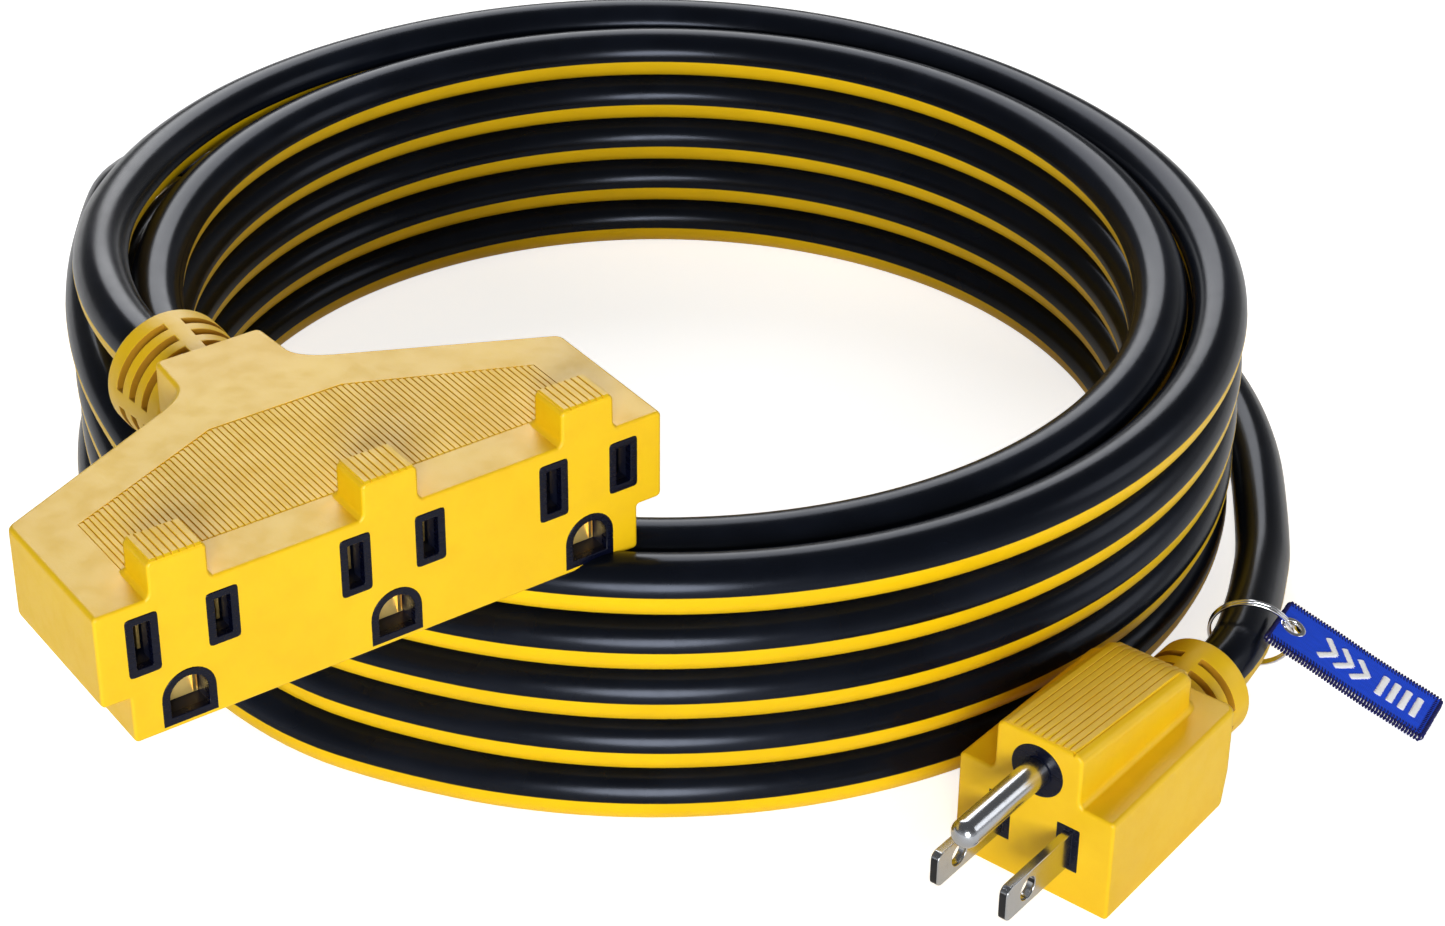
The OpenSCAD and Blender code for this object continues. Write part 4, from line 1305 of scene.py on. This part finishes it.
def make_plug():
    """The casing, the bars on its thumb ridge and the rims round the blades and the pin."""
    s = settings("casing")
    body = solid("plug_casing", plug_block(s.edge / MM))
    joined(body, solid("ridge", plug_ridge()), "UNION")
    rounded_front(body, 0.6)
    # Rooms for the carrier, the crimps and the cores, and the bore for the jacket
    wall, carrier_back = 1.8, 15.9
    cuts = [
        block(24.2, wall, carrier_back, -5.5, 6.1),
        block(11.2, wall, carrier_back, -5.4, 16.0),
        *(upright(plug_opening(kind, 0.04), -1, 2.2) for kind in KINDS),
        block(18, 15.8, 30, PLUG_AXIS - 4.9, PLUG_AXIS + 4.9),
        block(8, 15.8, 28, PLUG_AXIS, 14.1),
        lathe([(28, BORE_R), (PLUG_LEN + 1, BORE_R)], 48, z=PLUG_AXIS),
    ]
    joined(body, solid("cuts", merge(*cuts)), "DIFFERENCE", messy=True)
    place(body, PLUG_AT, MM)
    polish(body, "casing_yellow")
    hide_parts("plug_body")
    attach(body, "root")
    bars = grown(
        "plug_grip_bars", bar_tree, Pitch=0.00127, Count=s.grip_bars, Width=0.00112,
        Height=0.00026, Depth=0.0005, Front=0.0006, Deep_End=0.0339, Bend_End=0.0339,
        Inner=0.1, Reach=0.2, Soft_End=0.02, Finish=material("rib_yellow"),
    )
    # The bars follow the ridge's slope
    with editing(bars.data) as bm:
        long_edges = [e for e in bm.edges if abs(e.verts[0].co.y - e.verts[1].co.y) > 0.008]
        bmesh.ops.subdivide_edges(bm, edges=long_edges, cuts=3, use_grid_fill=True)
        for v in bm.verts:
            v.co.z += ridge_height(v.co.y / MM) * MM
    place(bars, PLUG_AT)
    crisp(bars)
    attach(bars, "root")
    frames = merge(*(rim(plug_inside(k), plug_opening(k, 0.0), 0.06, 0.25) for k in KINDS))
    rims = polish(solid("plug_rims", frames, PLUG_AT), "rim_navy", angle=50)
    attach(rims, "root")


def make_blade(name, node, x):
    """A punched blade with a chamfered tip and softened edges."""
    tip, back, half, thick = -17.8, 15.8, 3.175, 1.52
    hole_y, hole_r = -11.9, 2
    side = rounded(oblong(tip, back, -half, half), [1.3, 0, 0, 1.3], 4)
    faces = (-thick / 2, thick / 2)
    blade = solid(name, stack([[(x + dx, y, z) for y, z in side] for dx in faces]))
    hole = circle(hole_r, 32, hole_y)
    punch = solid("punch", stack([[(x + dx, y, z) for y, z in hole] for dx in (-2, 2)]))
    joined(blade, punch, "DIFFERENCE")
    softened(blade, 0.16, 3, 30)
    cut = [face.index for face in blade.data.polygons if face.normal.y < -0.97]
    place(blade, PLUG_AT, MM)
    polish(blade, "blade_plating", "cut_steel")
    for index in cut:
        blade.data.polygons[index].material_index = 1
    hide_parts(node)
    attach(blade, "root")


def make_pin():
    """The round ground pin with its domed tip."""
    r, tip, dome, back, stem = 2.4, -21.4, 2.1, 15.8, 2.0
    profile = []
    for k in range(9):
        a = math.pi / 2 * k / 8
        profile.append((tip + dome * (1 - math.cos(a)), r * math.sin(a)))
    profile += [(-0.2, r), (-0.1, 2.3), (0.0, stem), (back, stem), (back, 0)]
    shape = lathe(profile, 48, z=GROUND_Z)
    pin = polish(solid("ground_pin_plated", shape, PLUG_AT), "blade_plating")
    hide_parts("ground_pin")
    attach(pin, "root")


# ---- Ring and tag ----
def make_ring():
    """Two turns of round wire side by side, with a step where one crosses to the other."""
    wire, inner, crossing = 0.65, 13.6, 18
    radius = inner / 2 + wire / 2
    path = []
    for a in np.radians(np.arange(crossing, 721 - crossing, 3)):
        share = float(ease((a - math.tau + math.radians(crossing)) / math.radians(2 * crossing)))
        path.append((radius * math.cos(a), radius * math.sin(a), wire * (share - 0.5)))
    shape = tube(path, wire / 2 - 0.01, 12)
    ring = polish(solid("split_ring_wire", shape, RING_AT), "ring_steel")
    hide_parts("split_ring")
    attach(ring, "ring")


# The eyelet's distance from the tag's near end, the cloth's thickness and the border's width
TAG_INSET, TAG_T, BORDER = 3.2, 1.2, 0.75
# Distances of the border's core and of its inner seam from the tag's edge
EDGE_IN, SEAM_IN = 0.52, 1.3
# Where the embroidered chevrons and bars stand along the tag
CHEVRONS, BARS = (6.0, 9.2, 12.4), (17.6, 19.8, 22.0, 24.2)
CHEVRON_LEN, MARK_HALF = 2.4, 2.9


def tag_wave(x, y):
    """Slight waves of the hanging cloth, which is flat at the eyelet."""
    free = min(1, max(0, (x - 3) / 6))
    return 0.1 * math.sin(x * 0.26 + 0.8) * free + 0.05 * math.sin(y * 0.5 + x * 0.12) * free


def waved(obj):
    """Bends a tag piece, in metres in the tag's own axes, with the cloth."""
    for v in obj.data.vertices:
        v.co.z += tag_wave(v.co.x / MM, v.co.y / MM) * MM


def tag_cloth():
    """The woven strip with its punched hole, both faces and edges, as one skin."""
    s = settings("tag")
    length, width = s.length / MM - 2 * BORDER, s.width / MM - 2 * BORDER
    x0, half = BORDER - TAG_INSET, width / 2
    hole, patch, around, columns = 1.66, 3.2, 32, 48
    bm = bmesh.new()
    # Loops from the punched hole to a rectangle round it
    loops = []
    for share in (0, 0.33, 0.66, 1):
        loop = []
        for k in range(around):
            a = math.tau * k / around
            reach = 1 / max(abs(math.cos(a)), abs(math.sin(a)))
            sx, sy = reach * math.cos(a), reach * math.sin(a)
            inner = Vector((hole * math.cos(a), hole * math.sin(a)))
            outer = Vector((sx * (-x0 if sx < 0 else patch), sy * half))
            loop.append(bm.verts.new((*inner.lerp(outer, share), 0)))
        loops.append(loop)
    for a, b in zip(loops, loops[1:]):
        for k in range(around):
            j = (k + 1) % around
            bm.faces.new((a[k], a[j], b[j], b[k]))
    # Columns from the rectangle's right side to the far end
    right = sorted((v for v in loops[-1] if v.co.x > patch - 0.01), key=lambda v: v.co.y)
    previous = right
    for c in range(1, columns + 1):
        x = patch + (length + x0 - patch) * c / columns
        column = [bm.verts.new((x, v.co.y, 0)) for v in right]
        for k in range(len(right) - 1):
            bm.faces.new((previous[k], previous[k + 1], column[k + 1], column[k]))
        previous = column
    mesh = bpy.data.meshes.new("tag_cloth")
    uv = bm.loops.layers.uv.new("cloth")
    for v in bm.verts:
        v.co *= MM
    bmesh.ops.recalc_face_normals(bm, faces=bm.faces)
    for face in bm.faces:
        for loop in face.loops:
            loop[uv].uv = (loop.vert.co.x, loop.vert.co.y)
    bm.to_mesh(mesh)
    bm.free()
    cloth = new_object("tag_cloth", mesh)
    mod = cloth.modifiers.new("thickness", "SOLIDIFY")
    mod.thickness = (TAG_T - 0.1) * MM
    mod.offset = 0
    settled(cloth)
    waved(cloth)
    place(cloth, TAG_AT)
    return polish(cloth, "tag_cloth", angle=50)


def edge_line(points, closed=False):
    """Corners and edges of a line, for the stitches to follow."""
    count = len(points)
    return points, [(k, (k + 1) % count) for k in range(count if closed else count - 1)]


def tag_border(length, width, face):
    """The overlocked border: stitches round a core, and a seam inside it on both faces."""
    s, thread = settings("tag"), material("border_thread")
    x0, x1, half = -TAG_INSET + EDGE_IN, length - TAG_INSET - EDGE_IN, width / 2 - EDGE_IN
    edge = at_z(rounded(oblong(x0, x1, -half, half), [0.5] * 4, 4), 0)
    border = grown(
        "tag_border", stitch_tree, edge_line(edge, closed=True), Spacing=s.stitch,
        Across=0.00056, Along=0.0003, Thick=0.00084, Slant=0.3, Seed=3, Finish=thread,
    )
    core = solid("tag_border_core", tube(edge + edge[:1], 0.3, 8), Matrix())
    core.data.materials.append(thread)
    far, wide = length - TAG_INSET - SEAM_IN, width / 2 - SEAM_IN
    seams = []
    for z in (face - 0.05, 0.05 - face):
        seams.append(grown(
            "tag_seam", stitch_tree, edge_line(at_z(oblong(x0, far, -wide, wide), z)),
            Spacing=s.stitch, Across=0.00038, Along=0.00013, Thick=0.00013, Slant=0.5, Seed=5,
            Finish=thread,
        ))
    return join_objects([border, core, *seams], "tag_border")


def tag_threads(face):
    """White embroidery on both faces: three chevrons and four bars."""
    marks = [[(x, -MARK_HALF), (x + CHEVRON_LEN, 0), (x, MARK_HALF)] for x in CHEVRONS]
    marks += [[(x, -MARK_HALF), (x, MARK_HALF)] for x in BARS]
    threads = []
    for side in (1, -1):
        for n, line in enumerate(marks):
            threads.append(grown(
                "tag_threads", stitch_tree, edge_line(at_z(line, face * side)),
                Spacing=0.00021, Across=0.00068, Along=0.00013, Thick=0.00016, Slant=0.0,
                Seed=n, Finish=material("white_thread"),
            ))
    return join_objects(threads, "tag_threads")


def tag_eyelet():
    """The eyelet's rolled rim, on both faces and through the hole."""
    hole, wide, thick = 1.5, 0.8, 0.15
    flat, outer = TAG_T / 2, hole + wide
    top = flat + thick
    profile = [
        (-flat + 0.02, hole + thick), (-flat + 0.02, outer), (-flat - 0.08, outer - 0.02),
        (-top, outer - 0.15), (-top, hole + 0.25), (-top + 0.06, hole + 0.08), (-top + 0.2, hole),
    ]
    profile += [(-y, r) for y, r in reversed(profile)]
    at = TAG_AT @ Matrix.Rotation(math.pi / 2, 4, "X")
    return polish(solid("tag_eyelet_rim", lathe(profile, 40, wrap=True), at), "ring_steel")


def make_tag():
    """The woven tag with its border, its embroidery and its eyelet."""
    s = settings("tag")
    length, width = s.length / MM, s.width / MM
    face = TAG_T / 2 + 0.02
    cloth = tag_cloth()
    border = tag_border(length, width, face)
    threads = tag_threads(face)
    for piece in (border, threads):
        waved(piece)
        place(piece, TAG_AT)
        piece.data.shade_smooth()
    eyelet = tag_eyelet()
    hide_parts("tag_eyelet")
    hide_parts("tag_fabric")
    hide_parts("tag_edge")
    for piece in (cloth, border, threads, eyelet):
        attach(piece, "tag")


# ---- Cord ----
def make_cord():
    """The one cord from the tap to the plug, a tube along its winding with its own map."""
    s = settings("cord")
    diameter, sides = s.diameter / MM, s.sides
    path = finer(winding(diameter))
    run = np.concatenate([[0], np.cumsum(np.linalg.norm(np.diff(path, axis=0), axis=1))])
    tangent = np.gradient(path, axis=0)
    tangent /= np.linalg.norm(tangent, axis=1)[:, None]
    up = np.array([0, 0, 1.0]) - tangent * tangent[:, 2:]
    up /= np.linalg.norm(up, axis=1)[:, None]
    out = np.cross(up, tangent)
    out *= np.sign((out[:, :2] * path[:, :2]).sum(1))[:, None]
    angles = -math.pi + math.tau * np.arange(sides) / sides
    cosines, sines = (turn(angles)[None, :, None] for turn in (np.cos, np.sin))
    rings = path[:, None] + diameter / 2 * (cosines * up[:, None] + sines * out[:, None])
    shift = np.array(COIL_AT.translation)
    corners = (rings.reshape(-1, 3) + shift) * MM
    count = len(path)
    faces, uvs = [], []
    for i in range(count - 1):
        here, after = i * sides, (i + 1) * sides
        u0, u1 = run[i] * MM, run[i + 1] * MM
        for k in range(sides):
            j = (k + 1) % sides
            v0, v1 = k / sides, (k + 1) / sides
            faces.append((here + k, here + j, after + j, after + k))
            uvs += [(u0, v0), (u0, v1), (u1, v1), (u1, v0)]
    faces.append(tuple(range(sides))[::-1])
    faces.append(tuple(range((count - 1) * sides, count * sides)))
    uvs += [(0, 0.5)] * sides + [(run[-1] * MM, 0.5)] * sides
    mesh = bpy.data.meshes.new("cord")
    mesh.from_pydata([tuple(c) for c in corners], [], faces)
    layer = mesh.uv_layers.new(name="cord")
    layer.data.foreach_set("uv", np.array(uvs, np.float32).ravel())
    face_outwards(mesh)
    mesh.shade_smooth()
    mesh.materials.append(material("cord_two_tone"))
    cord = new_object("cord", mesh)
    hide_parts("cord_coil", "cord_tap_lead", "cord_plug_lead")
    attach(cord, "root")


# The CAD's inner nodes and the finishes they are given
NODE_FINISHES = {
    "contact_carrier": "carrier_navy",
    "carrier_cover": "cover_navy",
    "neutral_bus": "contact_brass",
    "hot_bus": "contact_brass",
    "ground_bus": "contact_brass",
    "tap_crimps": "crimp_steel",
    "tap_neutral_wire": "core_white",
    "tap_hot_wire": "core_black",
    "tap_ground_wire": "core_green",
    "tap_jacket_end": "tap_jacket",
    "blade_carrier": "carrier_navy",
    "plug_crimps": "crimp_steel",
    "plug_neutral_wire": "core_white",
    "plug_hot_wire": "core_black",
    "plug_ground_wire": "core_green",
    "plug_jacket_end": "plug_jacket",
}


# ---- Stage ----
# The camera: its sensor and lens in millimetres, its shift, its angles and its place in metres
SENSOR, LENS, SHIFT = 36, 78.095, (0.04436, -0.10018)
AZIMUTH, RISE = math.radians(-34.74), math.radians(30.36)
CAMERA_AT = (-0.185, -0.37195, 0.2644)
# Each lamp's place in metres, its share of a setting's power, and its size
LAMPS = {
    "key_light": ((-0.8, -1.25, 0.4), "key", 1, 0.7),
    "side_light": ((1.2, -0.7, 0.5), "key", 0.07, 0.6),
    "back_light": ((0.65, 1.1, 0.82), "back", 1, 1.2),
}
# What the lamps point at
LIT = Vector((0.09, 0, -0.02))


# ---- Operators ----
class BuildStage(bpy.types.Operator):
    """Camera, floor, room light and lamps"""

    bl_idname = "extension.stage"
    bl_label = "Stage"

    def execute(self, context):
        s = settings("stage")
        context.scene.view_settings.view_transform = "Standard"
        self.camera(context.scene)
        self.floor(s)
        self.room(s, context.scene)
        for name, (at, setting, share, size) in LAMPS.items():
            self.lamp(name, at, getattr(s, setting) * share, size)
        return {"FINISHED"}

    def camera(self, scene):
        """The camera, level, with its shift for the framing."""
        data = bpy.data.cameras.new("camera")
        data.sensor_width, data.lens = SENSOR, LENS
        data.shift_x, data.shift_y = SHIFT
        camera = new_object("camera", data)
        level = math.cos(RISE)
        back = Vector((math.sin(AZIMUTH) * level, -math.cos(AZIMUTH) * level, math.sin(RISE)))
        right = Vector((math.cos(AZIMUTH), math.sin(AZIMUTH), 0))
        turn = Matrix((right, back.cross(right), back)).transposed().to_4x4()
        camera.matrix_world = Matrix.Translation(CAMERA_AT) @ turn
        scene.camera = camera

    def floor(self, s):
        """A matt floor that keeps shadows and that the camera sees white."""
        half, gap = s.floor_size / 2, 0.00005
        mesh = bpy.data.meshes.new("floor")
        corners = at_z(oblong(-half, half, -half, half), FLOOR * MM - gap)
        mesh.from_pydata(corners, [], [(0, 1, 2, 3)])
        floor = new_object("floor", mesh)
        white = (0.86, 0.86, 0.86)
        f = Finish("floor_white", Base_Color=white, Roughness=0.9, Specular_IOR_Level=0.1)
        eye = f.node("ShaderNodeLightPath")
        seen = eye["Is Camera Ray"].upper(eye["Is Glossy Ray"] * 0.3)
        f.set({"Emission_Color": f.blend(seen, (0, 0, 0), (1, 1, 1)), "Emission_Strength": 0.75})
        mesh.materials.append(f.material)

    def room(self, s, scene):
        """Soft light from the walls and the ceiling; the camera sees plain white."""
        world = bpy.data.worlds.new("room")
        world.use_nodes = True
        scene.world = world
        r = Recipe(world.node_tree)
        world.node_tree.nodes.clear()
        eye = r.node("ShaderNodeLightPath")
        seen = eye["Is Camera Ray"].upper(eye["Is Transmission Ray"])
        direction = r.node("ShaderNodeTexCoord")["Generated"]
        towards = r.node("ShaderNodeSeparateXYZ", {}, {0: direction})
        walls = towards[1].ramp(0.0, 0.7, s.horizon, s.horizon * 0.3)
        level = abs(towards[2]).ramp(0.08, 0.5)
        around = walls + (s.ambient - walls) * level
        strength = around + (1 - around) * seen
        values = {"Color": (1, 1, 1), "Strength": strength}
        light = r.node("ShaderNodeBackground", {}, values)[0]
        r.node("ShaderNodeOutputWorld", {}, {"Surface": light})

    def lamp(self, name, at, power, size):
        """A round area lamp that points at the object."""
        data = bpy.data.lights.new(name, "AREA")
        data.shape, data.size, data.energy = "DISK", size, power
        lamp = new_object(name, data)
        lamp.location = at
        lamp.rotation_euler = (LIT - Vector(at)).to_track_quat("-Z", "Y").to_euler()


class BuildTap(bpy.types.Operator):
    """The tap's casing, ribs and finger tabs"""

    bl_idname = "extension.tap"
    bl_label = "Tap"

    def execute(self, context):
        make_tap()
        return {"FINISHED"}


class BuildOutlets(bpy.types.Operator):
    """The dark rims around the outlets' openings and the leaves of the ground contacts"""

    bl_idname = "extension.outlets"
    bl_label = "Outlet rims"

    def execute(self, context):
        make_outlet_rims()
        make_ground_leaves()
        return {"FINISHED"}


class BuildSleeves(bpy.types.Operator):
    """Both strain relief sleeves"""

    bl_idname = "extension.sleeves"
    bl_label = "Sleeves"

    def execute(self, context):
        make_sleeve(
            "tap_sleeve", "tap_strain_relief", TAP_AT @ Matrix.Translation((0, TAP_LEN, TAP_AXIS)),
            length=TAP_SLEEVE, root=9.8, collar=10.9, end_length=3.6, slot=1.6, rows=3,
        )
        make_sleeve(
            "plug_sleeve", "plug_strain_relief",
            PLUG_AT @ Matrix.Translation((0, PLUG_LEN, PLUG_AXIS)),
            length=PLUG_SLEEVE, root=7.9, collar=8.9, end_length=4.7, slot=1.35, rows=2,
        )
        return {"FINISHED"}


class BuildPlug(bpy.types.Operator):
    """The plug's casing, grip bars and collars"""

    bl_idname = "extension.plug"
    bl_label = "Plug"

    def execute(self, context):
        make_plug()
        return {"FINISHED"}


class BuildBlades(bpy.types.Operator):
    """The two blades and the ground pin"""

    bl_idname = "extension.blades"
    bl_label = "Blades and pin"

    def execute(self, context):
        make_blade("neutral_blade_plated", "neutral_blade", BLADE_X["neutral"])
        make_blade("hot_blade_plated", "hot_blade", BLADE_X["hot"])
        make_pin()
        return {"FINISHED"}


class BuildTag(bpy.types.Operator):
    """The split ring, the eyelet and the woven tag"""

    bl_idname = "extension.tag"
    bl_label = "Ring and tag"

    def execute(self, context):
        make_ring()
        make_tag()
        return {"FINISHED"}


class BuildCord(bpy.types.Operator):
    """The wound cord from the tap to the plug"""

    bl_idname = "extension.cord"
    bl_label = "Cord"

    def execute(self, context):
        make_cord()
        return {"FINISHED"}


class FinishNodes(bpy.types.Operator):
    """Finishes for the inner parts"""

    bl_idname = "extension.inner"
    bl_label = "Inner parts"

    def execute(self, context):
        for node, name in NODE_FINISHES.items():
            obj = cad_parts[node]
            obj.data.materials.clear()
            obj.data.materials.append(material(name))
        return {"FINISHED"}


class CordPanel(bpy.types.Panel):
    """The parts of the extension cord"""

    bl_idname = "VIEW3D_PT_extension_cord"
    bl_label = "Extension cord"
    bl_space_type = "VIEW_3D"
    bl_region_type = "UI"
    bl_category = "Cord"

    def draw(self, context):
        for name, group in SETTINGS.items():
            box = self.layout.box()
            box.label(text=name.capitalize())
            for key in group.__annotations__:
                box.prop(settings(name), key)
        for operator in OPERATORS:
            self.layout.operator(operator.bl_idname)


OPERATORS = [
    BuildStage, BuildTap, BuildOutlets, BuildSleeves, BuildPlug, BuildBlades, BuildTag, BuildCord,
    FinishNodes,
]


def register():
    for cls in (*SETTINGS.values(), *OPERATORS, CordPanel):
        bpy.utils.register_class(cls)
    for name, group in SETTINGS.items():
        setattr(bpy.types.Scene, "extension_" + name, PointerProperty(type=group))


def unregister():
    for name in SETTINGS:
        delattr(bpy.types.Scene, "extension_" + name)
    for cls in (CordPanel, *reversed(OPERATORS), *SETTINGS.values()):
        bpy.utils.unregister_class(cls)


def main():
    register()
    bpy.ops.extension.stage()
    bpy.ops.extension.tap()
    bpy.ops.extension.outlets()
    bpy.ops.extension.sleeves()
    bpy.ops.extension.plug()
    bpy.ops.extension.blades()
    bpy.ops.extension.tag()
    bpy.ops.extension.cord()
    bpy.ops.extension.inner()


if __name__ == "__main__":
    main()
